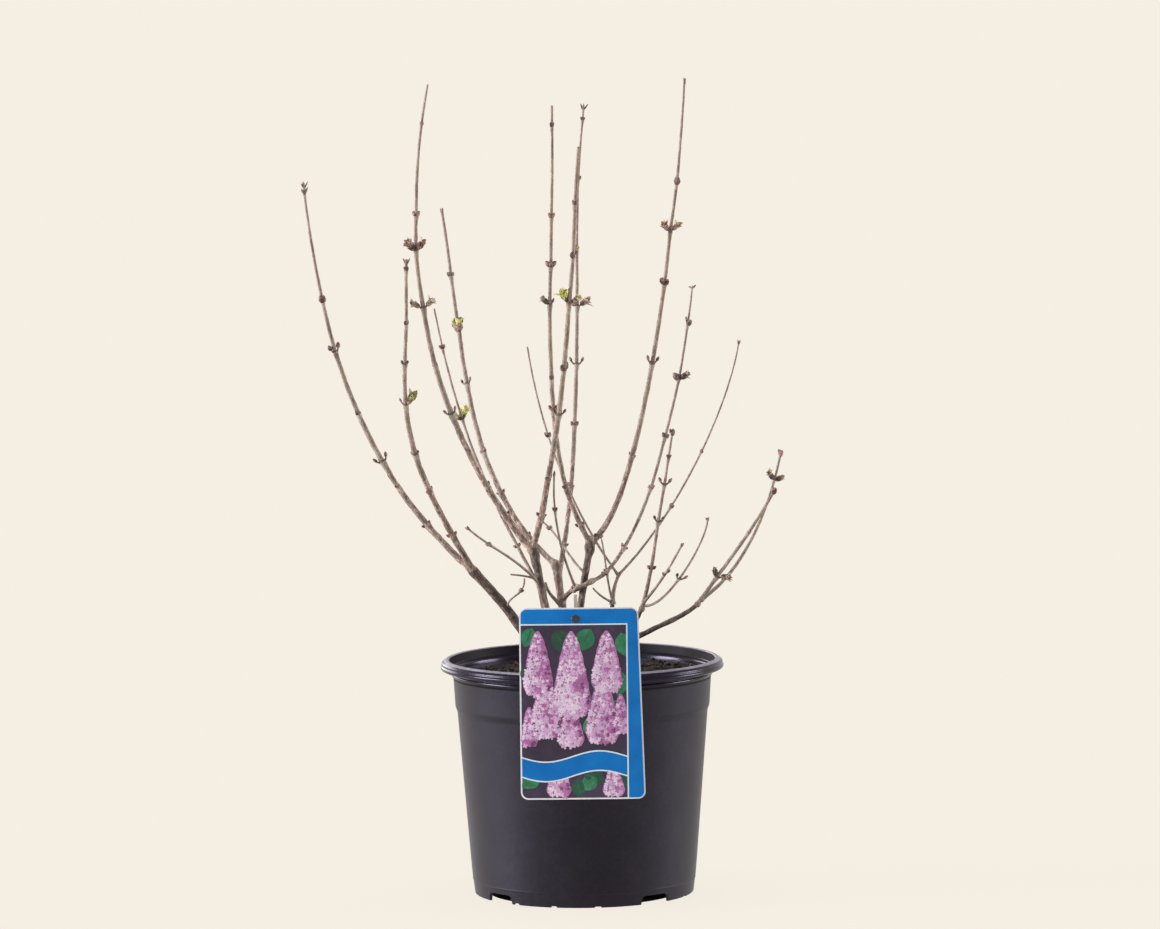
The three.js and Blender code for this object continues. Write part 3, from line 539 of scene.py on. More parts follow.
class Limb:
    """A cubic curve with a radius that tapers along it, and frames that turn as little as possible."""

    def __init__(self, start, row, flare=0):
        self.control = np.array([start, *row["bends"], row["tip"]], float)
        self.thick, self.thin = row["radii"]
        self.flare = flare
        self.shares = np.linspace(0, 1, LENGTH_STEPS + 1)
        steps = np.linalg.norm(np.diff(self.place(self.shares), axis=0), axis=1)
        self.distances = np.concatenate([[0], np.cumsum(steps)])
        self.length = self.distances[-1]
        count = max(1, int(self.length / RING_STEP + 0.5))
        self.frame_shares = np.arange(count + 1) / count
        self.frame_across = [np.array([1.0, 0, 0])]
        for share in self.frame_shares:
            along = self.along(share)
            across = self.frame_across[-1]
            self.frame_across.append(unit(across - along * (across @ along)))
        self.frame_across = np.array(self.frame_across[1:])
        self.kinks = np.array([0.0, 1.0]), np.zeros((2, 2))

    def place(self, share):
        t = np.asarray(share, float)[..., None]
        weights = [(1 - t) ** 3, 3 * t * (1 - t) ** 2, 3 * t * t * (1 - t), t**3]
        return sum(weight * point for weight, point in zip(weights, self.control))

    def along(self, share):
        t = np.asarray(share, float)[..., None]
        first, second, third = np.diff(self.control, axis=0)
        return unit((1 - t) ** 2 * first + 2 * (1 - t) * t * second + t * t * third)

    def radius(self, share):
        share = np.asarray(share, float)
        rise = self.place(share)[..., 2] - self.control[0][2]
        return lerp(self.thick, self.thin, share) + self.thick * self.flare * np.exp(-rise / FLARE_RISE)

    def frame(self, share):
        """The limb's directions along, across and to the side at these shares of it."""
        share = np.asarray(share, float)
        along = self.along(share)
        nearest = np.searchsorted(self.frame_shares, share + TINY, side="right") - 1
        across = self.frame_across[nearest]
        across = unit(across - along * np.sum(across * along, -1, keepdims=True))
        return along, across, np.cross(along, across)

    def share_at(self, distance):
        return np.interp(distance, self.distances, self.shares)

    def distance_at(self, share):
        return np.interp(share, self.shares, self.distances)

    def kink_at(self, nodes, random):
        """Bends the limb by a trifle at each of its nodes."""
        shares = np.array([0.0, *sorted(nodes), 1.0])
        offsets = np.zeros((len(shares), 2))
        offsets[1:-1] = KINK * (2 * random.random((len(shares) - 2, 2)) - 1)
        self.kinks = shares, offsets

    def offset(self, share):
        """How far the kinks move the limb at these shares."""
        shares, offsets = self.kinks
        _, across, side = self.frame(share)
        first = np.interp(share, shares, offsets[:, 0])[..., None]
        second = np.interp(share, shares, offsets[:, 1])[..., None]
        return across * first + side * second


def nodes_of(row):
    """The nodes of a limb as (share, kind), from its foot to its tip."""
    return sorted((share, kind) for kind in PAIRS for share in row.get(kind, []))


def scars_of(row):
    """The bare nodes of a limb as (share, turn in radians)."""
    turn = row.get("turn", 0)
    return [(share, math.radians(turn + i * SCAR_TURN)) for i, share in enumerate(row.get("scars", []))]


def grow():
    """Every limb by name: its row, its parent's name, its curve, its side twigs and its seed."""
    grown = {}
    seed = FIRST_SEED
    for row in [*STEMS, *SHOOTS]:
        seed += 1
        random = np.random.default_rng(seed)
        parent = row["from"].replace("bough_", "") if "from" in row else None
        if parent is None:
            limb = Limb((*row["foot"], SOIL["top"] + GAP), row, FLARE - 1)
        else:
            limb = Limb(grown[parent]["limb"].place(row["at"]), row)
        twigs = [(twig, Limb(limb.place(twig["at"]), twig)) for twig in row.get("twigs", [])]
        for one, curve in [(row, limb), *twigs]:
            curve.kink_at([share for share, _ in [*nodes_of(one), *scars_of(one)]], random)
        grown[row["name"]] = {"row": row, "parent": parent, "limb": limb, "twigs": twigs, "seed": seed}
    return grown


# ---------------------------------------------------------------- the rule that places buds
def limb_samples(grown):
    """Places along every limb and side twig, each with the name of its limb and its radius there."""
    owners, places, radii = [], [], []
    shares = np.linspace(0, 1, CLEAR_STEPS + 1)
    for name, entry in grown.items():
        for limb in [entry["limb"], *[twig for _, twig in entry["twigs"]]]:
            owners += [name] * len(shares)
            places.append(limb.place(shares))
            radii.append(limb.radius(shares))
    return np.array(owners), np.concatenate(places), np.concatenate(radii)


def stays_clear(points, own, samples):
    """Are these points near their own limb, and clear of all the others?"""
    owners, places, radii = samples
    for point in points:
        distances = np.linalg.norm(places - point, axis=1)
        mine = owners == own
        if not np.any(distances[mine] < TWIG_ROOM):
            return False
        if np.any(distances[~mine] < radii[~mine] + TWIG_CLEAR):
            return False
    return True


def buds_of_pair(limb, kinds, share, turn, random, own, samples):
    """The buds of a pair at this share of a limb: those that stay clear of everything else."""
    size = lerp(*SIZE_RANGE, random())
    lean = SPUR["lean"] if kinds[0] == "spur" else BUDS[kinds[0]]["lean"]
    lean = math.radians(lean + LEAN_SPREAD * (random() - 0.5))
    along, across, side = limb.frame(share)
    towards = swung(across, side, math.radians(turn))
    found = []
    for index, (kind, hand) in enumerate(zip(kinds, (1, -1))):
        out = hand * towards
        direction = swung(along, out, lean)
        root = limb.place(share) + out * max(0, float(limb.radius(share)) - ROOT_DEPTH)
        length = SPUR["length"] + SPUR["bud_length"] if kind == "spur" else BUDS[kind]["length"]
        if stays_clear([root + direction * part * length * size for part in BUD_REACH], own, samples):
            root = root + limb.offset(share)
            found.append({"kind": kind, "root": root, "direction": direction, "out": out, "size": size,
                          "along": along, "hand": index})
    return found


def buds_on(limb, row, turn, random, own, samples):
    """The buds of a limb, and its nodes as (distance, turn in radians)."""
    buds, nodes = [], []
    for i, (share, kind) in enumerate(nodes_of(row)):
        alternate = (i % 2) * CLOSED_TURN if kind == "closed" else 0
        node_turn = turn + alternate + TURN_SPREAD * (random() - 0.5)
        for first, (kinds, pair_turn) in enumerate(PAIRS[kind]):
            for bud in buds_of_pair(limb, kinds, share, node_turn + pair_turn, random, own, samples):
                buds.append({**bud, "share": share, "index": 2 * first + bud["hand"]})
        nodes.append((float(limb.distance_at(share)), math.radians(node_turn)))
    return buds, nodes


# ---------------------------------------------------------------- bark
BARK_STEP = 0.5  # distance between samples of a limb's line
VOXEL = 0.5  # size of the bark's faces
ROUGH_RING = 2.0  # length of the rough tube between two rings
ROUGH_SIDES = 12
STEM_SUNK = 4  # how far a stem goes down into the soil
WEB = 0.9  # how softly limbs of one fork run into each other
BARK_REACH = 5  # a limb's bark acts on points this near
FITTING_ROUNDS = 3
FIRST_EVENING = 3  # rounds of smoothing before the fitting
LAST_EVENING = 0.35  # how far each point is smoothed after it
STEM_AGE, BOUGH_AGE = 1, 0.55  # how strong the ridges and plates are
LAYERS = 10  # room for as many layers of relief between the seeds of two limbs
# Layers of the bark's relief: its seed, radius of its ring in cells, length of a cell, height, its part in
# the mask of pale flakes and dark cracks, which are partly painted highlight and painted shade, and how
# steep its edges are.
LUMPS = {"seed": 1, "ring": 0.8, "step": 6.5, "height": 0.22}
RIDGES = {"seed": 2, "ring": 2.3, "step": 10, "height": 0.11, "flake_and_shade_mask": 0.4}
PLATES = {"seed": 3, "ring": 2.6, "step": 2.6, "height": 0.1, "flake_and_shade_mask": 0.6, "edge": 4}
CRACKED_AND_SHADED = -0.52  # bark lower on the mask than this is painted dark, as a crack and the painted shade in it
FLAKED_AND_HIGHLIT = 0.56  # and bark higher on it than this is painted pale, as a flake and a painted highlight on it
GROWTH_RING = {"height": 0.22, "width": 0.8, "before": 1}  # the ridge where a year's growth ends
# The shoulder at a node: its height, its reach below and above, and the part of it that runs all round.
NODE_SWELL = {"height": 0.5, "below": 3.2, "above": 0.9, "all_round": 0.3}
KNOT_LOBES = {"count": 3, "depth": 0.4, "twist": 0.5}
BUTTRESS = {"count": 3, "height": 0.5, "rise": 5}  # lobes at a stem's foot
OLD_BARK, YOUNG_BARK, CRACKED_BARK_AND_SHADE, FLAKING_BARK_AND_HIGHLIGHT, OLD_FLAKE_AND_HIGHLIGHT = range(5)  # slots of the bark's materials; cracks carry painted shade and flakes a painted highlight


def node_swell(angles, distances, nodes, scale):
    """How far the nodes raise a limb's skin: a shoulder that widens up to each node, and ends above it."""
    total = np.zeros(np.broadcast(angles, distances).shape)
    for place, turn in nodes:
        past = distances - place
        width = np.where(past < 0, NODE_SWELL["below"], NODE_SWELL["above"])
        rise = np.exp(-((past / width) ** 2))
        sides = lerp(np.cos(angles - turn) ** 2, 1, NODE_SWELL["all_round"])
        total = total + NODE_SWELL["height"] * scale * rise * sides
    return total


def skin_noise(layer, angles, distances, seed):
    """Noise on a limb's skin, with cells as long as the layer's step on a ring of the layer's radius."""
    ring = np.stack([np.cos(angles), np.sin(angles)], -1) * layer["ring"]
    places = np.concatenate([ring, (distances / layer["step"])[..., None]], -1)
    return noise(places, seed * LAYERS + layer["seed"])


def bark_fields(angles, distances, seed, age):
    """The height of the bark over the limb, and the mask of its pale flakes and dark cracks there, from -1
    to 1: flake and crack colour, partly painted highlight and painted shade.
    """
    lumps = skin_noise(LUMPS, angles, distances, seed)
    ridges = 1 - 2 * np.abs(skin_noise(RIDGES, angles, distances, seed))
    plates = np.tanh(PLATES["edge"] * skin_noise(PLATES, angles, distances, seed))
    height = LUMPS["height"] * lumps + age * (RIDGES["height"] * ridges + PLATES["height"] * plates)
    return height, plates * PLATES["flake_and_shade_mask"] + ridges * RIDGES["flake_and_shade_mask"]


class Section:
    """The stretch of a limb that is clad in bark."""

    def __init__(self, entry, low, high, age):
        row, limb = entry["row"], entry["limb"]
        self.seed, self.age, self.end = entry["seed"], age, high
        self.is_stem = entry["parent"] is None
        self.is_old = self.is_stem and not row.get("pale", False)
        self.knots = [(float(limb.distance_at(share)), *form) for share, *form in row.get("knots", [])]
        self.nodes = [(float(limb.distance_at(share)), turn) for share, turn in scars_of(row)]
        self.distance = np.arange(low, high + BARK_STEP, BARK_STEP)
        share = limb.share_at(np.maximum(self.distance, 0))
        self.along, self.across, self.side = limb.frame(share)
        below = self.along * np.minimum(self.distance, 0)[:, None]
        self.centre = limb.place(share) + limb.offset(share) + below
        self.radius = limb.radius(share)
        self.tree = kdtree.KDTree(len(self.centre))
        for i, centre in enumerate(self.centre):
            self.tree.insert(centre, i)
        self.tree.balance()

    def near(self, points):
        low, high = self.centre.min(0) - BARK_REACH, self.centre.max(0) + BARK_REACH
        return np.flatnonzero(np.all((points > low) & (points < high), axis=1))

    def reading(self, points):
        """Each point's distance outside the bark, the way out, and the mask of flakes and cracks there,
        which are partly painted highlight and painted shade.
        """
        nearest = np.array([self.tree.find(point)[1] for point in points])
        along = self.along[nearest]
        step = np.sum((points - self.centre[nearest]) * along, -1)
        step = np.clip(step, -BARK_STEP / 2, BARK_STEP / 2)
        spoke = points - self.centre[nearest] - along * step[:, None]
        reach = np.linalg.norm(spoke, axis=1)
        angle = np.arctan2(np.sum(spoke * self.side[nearest], -1), np.sum(spoke * self.across[nearest], -1))
        distance = self.distance[nearest] + step
        height, flake_and_shade_mask = bark_fields(angle, distance, self.seed, self.age)
        radius = self.radius[nearest] + height + node_swell(angle, distance, self.nodes, 1)
        radius = radius + self.knot_height(angle, distance) + self.end_height(angle, distance)
        return reach - radius, spoke / np.maximum(reach, TINY)[:, None], flake_and_shade_mask

    def knot_height(self, angle, distance):
        total = np.zeros(len(angle))
        turned_angle = KNOT_LOBES["count"] * angle + self.seed + KNOT_LOBES["twist"] * distance
        lobes = 1 - KNOT_LOBES["depth"] + KNOT_LOBES["depth"] * np.cos(turned_angle)
        for place, height, length in self.knots:
            total += height * lobes * np.exp(-(((distance - place) / length) ** 2))
        return total

    def end_height(self, angle, distance):
        """A stem has buttresses at its foot, and a bough the ridge of a year's growth at its end."""
        if self.is_stem:
            lobes = np.cos(BUTTRESS["count"] * angle + self.seed)
            return BUTTRESS["height"] * lobes * np.exp(-np.maximum(distance, 0) / BUTTRESS["rise"])
        past = distance - self.end + GROWTH_RING["before"]
        return GROWTH_RING["height"] * np.exp(-((past / GROWTH_RING["width"]) ** 2))


def rough_tube(section):
    """A plain tube along a section, with no relief."""
    step = max(1, int(ROUGH_RING / BARK_STEP))
    rows = np.unique([*range(0, len(section.distance), step), len(section.distance) - 1])
    radii = np.repeat(section.radius[rows, None], ROUGH_SIDES, axis=1)
    return tube(section.centre[rows], section.across[rows], section.side[rows], radii)


def voxel_mesh(mesh, size):
    """One skin of even faces round all that a mesh holds."""
    rough = placed("rough", mesh)
    remesh = rough.modifiers.new("even", "REMESH")
    remesh.mode = "VOXEL"
    remesh.voxel_size = size
    return without_modifiers(rough)


def numbers_of(items, name, width, kind=float):
    """An attribute of all the vertices, edges or faces of a mesh, as rows of numbers."""
    values = np.zeros(len(items) * width, kind)
    items.foreach_get(name, values)
    return values.reshape(-1, width)


def evened(points, edges, times, amount=0.5):
    """Moves each point part of the way to the middle of its neighbours."""
    ends = np.concatenate([edges, edges[:, ::-1]])
    size = len(points)
    count = np.bincount(ends[:, 0], minlength=size)[:, None]
    for _ in range(times):
        sums = [np.bincount(ends[:, 0], points[ends[:, 1], axis], size) for axis in range(3)]
        points = lerp(points, np.stack(sums, -1) / count, amount)
    return points


def related(names, grown):
    """Which limbs share a fork: a limb, its parent, its children and its parent's other children."""
    parents = [grown[name]["parent"] for name in names]
    kin = np.zeros((len(names), len(names)), bool)
    for i, one in enumerate(names):
        for j, other in enumerate(names):
            same_parent = parents[i] is not None and parents[i] == parents[j]
            kin[i, j] = one == other or parents[i] == other or parents[j] == one or same_parent
    return kin


def fitted_to_bark(points, sections, kin):
    """Moves points onto the bark, which runs softly from limb to limb in each fork."""
    for _ in range(FITTING_ROUNDS):
        gaps = np.full((len(sections), len(points)), np.inf)
        ways = np.zeros((len(sections), len(points), 3))
        flake_and_shade_mask = np.zeros((len(sections), len(points)))
        for i, section in enumerate(sections):
            near = section.near(points)
            if len(near):
                gaps[i, near], ways[i, near], flake_and_shade_mask[i, near] = section.reading(points[near])
        nearest = np.argmin(gaps, axis=0)
        least = gaps.min(axis=0)
        weights = np.exp(-(gaps - least) / WEB) * kin[:, nearest]
        total = weights.sum(axis=0)
        gap = least - WEB * np.log(total)
        weights /= total
        way = unit(np.einsum("sp,spx->px", weights, ways) + TINY)
        points = points - way * gap[:, None]
    return points, nearest, np.sum(weights * flake_and_shade_mask, axis=0)


def bark_faces(mesh, nearest, flake_and_shade_mask, sections):
    """Gives each face the slot of its wood: old, young, dark in the cracks with painted shade, or pale where
    it flakes with a painted highlight.
    """
    corners = numbers_of(mesh.polygons, "vertices", 4, np.int64)
    is_old = np.array([section.is_old for section in sections])[nearest]
    face_is_old = is_old[corners].mean(axis=1) > 0.5
    face_flake_and_shade = flake_and_shade_mask[corners].mean(axis=1)
    slots = np.where(face_is_old, OLD_BARK, YOUNG_BARK)
    slots[face_flake_and_shade < CRACKED_AND_SHADED] = CRACKED_BARK_AND_SHADE
    slots[face_flake_and_shade > FLAKED_AND_HIGHLIT] = FLAKING_BARK_AND_HIGHLIGHT
    slots[(face_flake_and_shade > FLAKED_AND_HIGHLIT) & face_is_old] = OLD_FLAKE_AND_HIGHLIGHT
    mesh.polygons.foreach_set("material_index", slots)


def build_bark(grown, materials):
    """One skin over all stems and bare boughs."""
    sections, nodes = {}, []
    for name, entry in grown.items():
        if entry["parent"] is None:
            sections[name] = Section(entry, -STEM_SUNK, entry["limb"].length, STEM_AGE)
            nodes.append(name)
        elif entry["row"]["entry"] > 0:
            end = float(entry["limb"].distance_at(entry["row"]["entry"]))
            sections[name] = Section(entry, 0, end, BOUGH_AGE)
            nodes.append(f"bough_{name}")
    rough = Shape()
    for section in sections.values():
        rough.add(*rough_tube(section))
    clad = list(sections.values())
    mesh = voxel_mesh(rough.mesh("bark", scale=1), VOXEL)
    edges = numbers_of(mesh.edges, "vertices", 2, np.int64)
    points = evened(numbers_of(mesh.vertices, "co", 3), edges, FIRST_EVENING)
    points, nearest, flake_and_shade_mask = fitted_to_bark(points, clad, related(list(sections), grown))
    points = evened(points, edges, 1, LAST_EVENING)
    bark_faces(mesh, nearest, flake_and_shade_mask, clad)
    mesh.vertices.foreach_set("co", (points * MM).ravel())
    return finished_piece(mesh, "bark", materials, nodes, sharp=180)


# ---------------------------------------------------------------- twigs
TWIG_RING = 0.8  # length of a twig between two rings
TWIG_SIDES = 12
TWIG_SKIN = 0.12  # how much stouter a twig is than the construction's
TWIG_SUNK = 2.5  # how far a twig starts inside the bough that it goes on from
TWIG_FOOT = 0.8  # how slim it is there, against its radius
COLLAR = {"height": 0.55, "width": 1.8}  # swelling where a twig leaves the side of a limb
MOST_SWOLLEN = 1.2  # the swelling at the nodes grows with the radius up to this one
SIDE_TWIG_SEED = 100  # how far the relief's seeds of a shoot and its side twigs are apart
# Layers of a twig's relief, like the bark's above, with heights as shares of the radius.
WAVES = {"seed": 4, "ring": 0.9, "step": 5, "height": 0.09}
WARTS = {"seed": 5, "ring": 1.9, "step": 1.5, "height": 0.3, "above": 0.45}
PALE_BELOW = 3.5  # length of the pale shoulder below a node
DARK_ABOVE = 2.0  # and of the dark stretch above it
SPUR_RINGS = 9
SPUR_SIDES = 8
SPUR_RISE = 0.6  # how much a spur turns up along its stem
SPUR_LEAN = 0.25  # and how much it leans along it in all
# A spur's girth: how much stouter its foot is, how soon that dies away, its taper, and its waves.
SPUR_GIRTH = {"foot": 0.7, "fade": 0.15, "taper": 0.2, "wave": 0.1, "waves": 19}
SHOOT_SKIN, SPUR_SKIN, SHOULDER, DARK_SKIN = range(4)  # slots of the twigs' materials


def twig_relief(angles, distances, seed):
    """The relief of a twig's skin, as a share of its radius: slight waves, and small warts."""
    warts = np.maximum(skin_noise(WARTS, angles, distances, seed) - WARTS["above"], 0)
    return WAVES["height"] * skin_noise(WAVES, angles, distances, seed) + WARTS["height"] * warts


def twig_slots(distances, nodes):
    """The slot of each face of a twig: darker just above a node, and paler below two nodes of three."""
    middles = (distances[1:] + distances[:-1]) / 2
    slots = np.full(len(middles), SHOOT_SKIN)
    for i, (place, _) in enumerate(nodes):
        slots[(middles > place) & (middles < place + DARK_ABOVE)] = DARK_SKIN
        if i % 3 < 2:
            slots[(middles < place) & (middles > place - PALE_BELOW)] = SHOULDER
    return [*np.repeat(slots, TWIG_SIDES), *([SHOOT_SKIN] * 2 * TWIG_SIDES)]


def clad_twig(shape, limb, low, nodes, seed, collar):
    """The skin of a twig from this distance to its tip, swollen at its nodes and at its foot."""
    distances = np.linspace(low, limb.length, max(4, int((limb.length - low) / TWIG_RING)))
    shares = limb.share_at(np.maximum(distances, 0))
    _, across, side = limb.frame(shares)
    radius = limb.radius(shares) + TWIG_SKIN
    if collar:
        past = np.maximum(distances - limb.thick, 0)
        radius = radius * (1 + COLLAR["height"] * np.exp(-past / COLLAR["width"]))
    else:
        radius = radius * lerp(TWIG_FOOT, 1, np.clip((distances - low) / TWIG_SUNK, 0, 1))
    grid = np.meshgrid(circle(TWIG_SIDES), distances)
    relief = twig_relief(*grid, seed) * radius[:, None]
    swell = node_swell(*grid, nodes, np.minimum(radius, MOST_SWOLLEN)[:, None])
    skin = tube(limb.place(shares) + limb.offset(shares), across, side, radius[:, None] + relief + swell)
    shape.add(*skin, slots=twig_slots(distances, nodes))


def curve_points(start, bend, end, count):
    """Points along a curve that leaves its start towards the bend."""
    share = np.linspace(0, 1, count)[:, None]
    return (1 - share) ** 2 * start + 2 * share * (1 - share) * bend + share**2 * end


def spur_twig(shape, bud, length, girth):
    """A short spur: it leaves its stem widely and then turns up along it. Returns its end and direction."""
    end = bud["root"] + unit(bud["direction"] + SPUR_LEAN * bud["along"]) * length
    bend = end - unit(bud["along"] * SPUR_RISE + bud["direction"] * (1 - SPUR_RISE)) * length * 0.5
    places = curve_points(bud["root"], bend, end, SPUR_RINGS)
    along = unit(np.gradient(places, axis=0))
    side = unit(np.cross(along, bud["out"]))
    shares = np.linspace(0, 1, SPUR_RINGS)
    foot = SPUR_GIRTH["foot"] * np.exp(-shares / SPUR_GIRTH["fade"])
    radius = girth * (1 + foot - SPUR_GIRTH["taper"] * shares)
    radius = radius * (1 + SPUR_GIRTH["wave"] * np.sin(shares * SPUR_GIRTH["waves"]))
    radii = np.repeat(radius[:, None], SPUR_SIDES, axis=1)
    shape.add(*tube(places, np.cross(side, along), side, radii), slot=SPUR_SKIN)
    return end - along[-1] * SPUR["bud_sunk"], along[-1]


# ---------------------------------------------------------------- buds
SCALE_PAIRS = [  # of a closed bud, from the outside in: start, end, half width, turn, lift
    (0.0, 0.46, 1.25, 90, 0.16),
    (0.04, 0.72, 1.2, 0, 0.11),
    (0.12, 0.93, 1.1, 90, 0.06),
    (0.2, 1.0, 1.0, 0, 0.02),
]
# A bud's outline: where it starts, the powers that round its foot and its point, and its greatest value.
BUD_OUTLINE = {"start": 0.12, "foot": 0.5, "point": 0.75, "most": 0.515}
CORE = {"rings": 7, "sides": 8, "length": 0.97, "girth": 0.9}  # inside the scales of a bud
# A scale: its grid, its thickness against the bud's radius, how much thicker its middle is, the powers that
# point its outline, and how much its lift varies.
SCALE = {"rows": 6, "columns": 7, "skin": 0.13, "middle": 1.25, "side": 2.4, "point": 0.6,
         "lifts": (0.6, 1.5)}
# A young leaf: its grid and thickness, its outline, and the waves of its margin.
BLADE = {"rows": 8, "columns": 5, "thick": 0.22, "start": 0.12, "side": 0.9, "full": 0.6, "tip": 0.02,
         "belly": 0.8, "wave": 0.06, "waves": 11}
# A bud that has opened: its core and scales against the bud, how far the scales are parted, and how many of
# them have the bud's own tint.
OPENED = {"core": 0.8, "girth": 0.85, "longest": 1.25, "parted": (1.5, 4.5), "own_tint": 0.7}
# Its tuft of leaves: where they start, their turns, their spread and width from the outer to the inner ones,
# the shape of each, how short the shortest is, and how much their spread, width and start vary.
TUFT = {"base": 0.5, "turn": 137.5, "loose_turn": 40, "spread": (1, 0.1), "width": (1, 0.65),
        "belly": 0.3, "flare": 0.7, "cup": 0.5, "foot": 0.2,
        "least": 0.55, "spreads": (0.6, 1.4), "widths": (0.75, 1.25), "starts": (0.5, 1.5)}
BUD_TINTS = 3
STALK_RADIUS = 0.68  # of the stalk under a bud that has opened
TIP_BUD_PAST = 0.9  # how far the point of a tip's bud stands past its twig's end
TIP_BUD_OUT = 0.5  # how far its foot moves out, the more it leans
TIP_BUD_ASKEW = 0.01  # how far it is turned out of line
DORMANT_SUNK = 0.1
NOT_ALIKE = (0.8, 1.2)  # sizes of dormant buds, and lengths of spurs, against those in the tables


def bud_outline(share):
    """A bud's radius at a share of its length, as a share of its greatest radius."""
    rise = (share + BUD_OUTLINE["start"]) ** BUD_OUTLINE["foot"]
    return rise * np.maximum(1 - share, 0) ** BUD_OUTLINE["point"] / BUD_OUTLINE["most"]


def bud_core(length, radius):
    """What shows between the scales of a bud."""
    count = CORE["rings"]
    shares = np.linspace(0, CORE["length"], count)
    places = np.column_stack([np.zeros((count, 2)), shares * length])
    across, side = np.tile([1.0, 0, 0], (count, 1)), np.tile([0, 1.0, 0], (count, 1))
    radii = np.repeat((bud_outline(shares) * radius * CORE["girth"])[:, None], CORE["sides"], axis=1)
    return tube(places, across, side, radii)


def bud_scale(length, radius, start, end, half_width, turn, lift):
    """One scale of a bud: a shell that hugs the bud and ends in a slightly raised point."""
    rise = np.linspace(0, 1, SCALE["rows"])[:, None]
    across = np.linspace(-1, 1, SCALE["columns"])[None, :]
    angles = math.radians(turn) + across * half_width * (1 - rise ** SCALE["side"]) ** SCALE["point"]
    shares = lerp(start, end, rise) + 0 * across
    base = bud_outline(shares) * radius * (1 + lift * rise**2)
    skin = SCALE["skin"] * radius
    outside = polar(base + skin * (SCALE["middle"] - across**2), angles, shares * length)
    return shell(outside, polar(np.maximum(base - skin, 0), angles, shares * length))


def leaf_blade(length, width, belly, flare, cup, turn, base, foot):
    """A young leaf that stands up out of a bud, cupped round it, with its tip bent outward."""
    rise = np.linspace(0, 1, BLADE["rows"])[:, None]
    across = np.linspace(-1, 1, BLADE["columns"])[None, :]
    grown = lerp(BLADE["start"], 1, rise) ** BLADE["side"]
    half = width / 2 * np.sin(np.pi * grown) ** BLADE["full"]
    half[-1] = BLADE["tip"]
    out = foot + belly * np.sin(np.pi * rise ** BLADE["belly"]) + flare * rise**2 - cup * across**2 * half
    out = out + BLADE["wave"] * width * np.sin(rise * BLADE["waves"] + turn) * np.abs(across)
    height = base + rise * length + 0 * across

    def sheet(shift):
        flat = rotated(np.stack([out + shift, half * across], -1), math.radians(turn))
        return np.concatenate([flat, height[..., None]], -1)

    return shell(sheet(BLADE["thick"] / 2), sheet(-BLADE["thick"] / 2))


def bud_axes(direction, out):
    """Rows that turn a bud's own x, y and z into the plant's."""
    upward = unit(direction)
    away = unit(out - upward * (out @ upward))
    return np.array([away, np.cross(upward, away), upward])


def set_in(shape, part, root, axes, slot):
    vertices, faces = part
    shape.add(vertices @ axes + root, faces, slot)


def bud_scales(pairs):
    """The scales of a bud as (start, end, half width, turn, lift), from the outside in."""
    return [(start, end, half_width, turn + hand, lift)
            for start, end, half_width, turn, lift in pairs for hand in (0, 180)]


def closed_bud(shape, root, axes, length, radius, random, tints=BUD_TINTS):
    """Overlapping pairs of scales on a core."""
    tint = int(random.integers(tints))
    set_in(shape, bud_core(length, radius), root, axes, tint)
    for *form, lift in bud_scales(SCALE_PAIRS):
        part = bud_scale(length, radius, *form, lift * between(*SCALE["lifts"], random))
        set_in(shape, part, root, axes, int((tint + random.integers(2)) % tints))


def opened_bud(scales, leaves, root, axes, look, size, random):
    """Parted scales at the foot, and a ragged tuft of young leaves that spreads out of them."""
    foot, radius = look["scales"] * size, look["girth"] * size
    set_in(scales, bud_core(foot, radius * OPENED["core"]), root, axes, look["brown"])
    for *form, lift in bud_scales(SCALE_PAIRS[:-1]):
        length = foot * between(1, OPENED["longest"], random)
        part = bud_scale(length, radius * OPENED["girth"], *form, lift * between(*OPENED["parted"], random))
        tint = look["brown"] if random.random() < OPENED["own_tint"] else int(random.integers(BUD_TINTS))
        set_in(scales, part, root, axes, tint)
    base = TUFT["base"] * foot
    reach = (look["reach"] - look["stalk"]) * size - base
    for i in range(look["leaves"]):
        inner = i / look["leaves"]
        turn = TUFT["turn"] * i + TUFT["loose_turn"] * random.random()
        tall = reach * between(1, TUFT["least"], random)
        spread = look["spread"] * lerp(*TUFT["spread"], inner) * between(*TUFT["spreads"], random)
        width = look["width"] * size * lerp(*TUFT["width"], inner) * between(*TUFT["widths"], random)
        start = base * between(*TUFT["starts"], random)
        part = leaf_blade(tall, width, TUFT["belly"] * spread * radius, TUFT["flare"] * spread * tall,
                          TUFT["cup"], turn, start, TUFT["foot"] * radius)
        set_in(leaves, part, root, axes, look["slots"][int(random.integers(len(look["slots"])))])


def dress_bud(bud, dress, twigs, scales, leaves, random):
    """Puts on the plant what grows at one bud's place."""
    size, root, direction = bud["size"], bud["root"], bud["direction"]
    if dress in DRESSES:
        look = DRESSES[dress]
        bud = {**bud, "direction": unit(direction + look["aside"] * bud["out"])}
        root, _ = spur_twig(twigs, bud, look["stalk"] * size + SPUR["bud_sunk"], STALK_RADIUS)
        opened_bud(scales, leaves, root, bud_axes(bud["direction"], bud["out"]), look, size, random)
        return
    if dress in STALKED:
        stalk, girth, length, radius = STALKED[dress]
        root, direction = spur_twig(twigs, bud, stalk * size * between(*NOT_ALIKE, random), girth)
    else:
        length, radius = CLOSED[dress]
        if dress == "closed":
            plain = BUDS[bud["kind"]]
            length, radius = min(length, plain["length"]), min(radius, plain["radius"])
    tints = BUD_TINTS - 1 if dress == "plump" else BUD_TINTS
    closed_bud(scales, root, bud_axes(direction, bud["out"]), length * size, radius * size, random, tints)


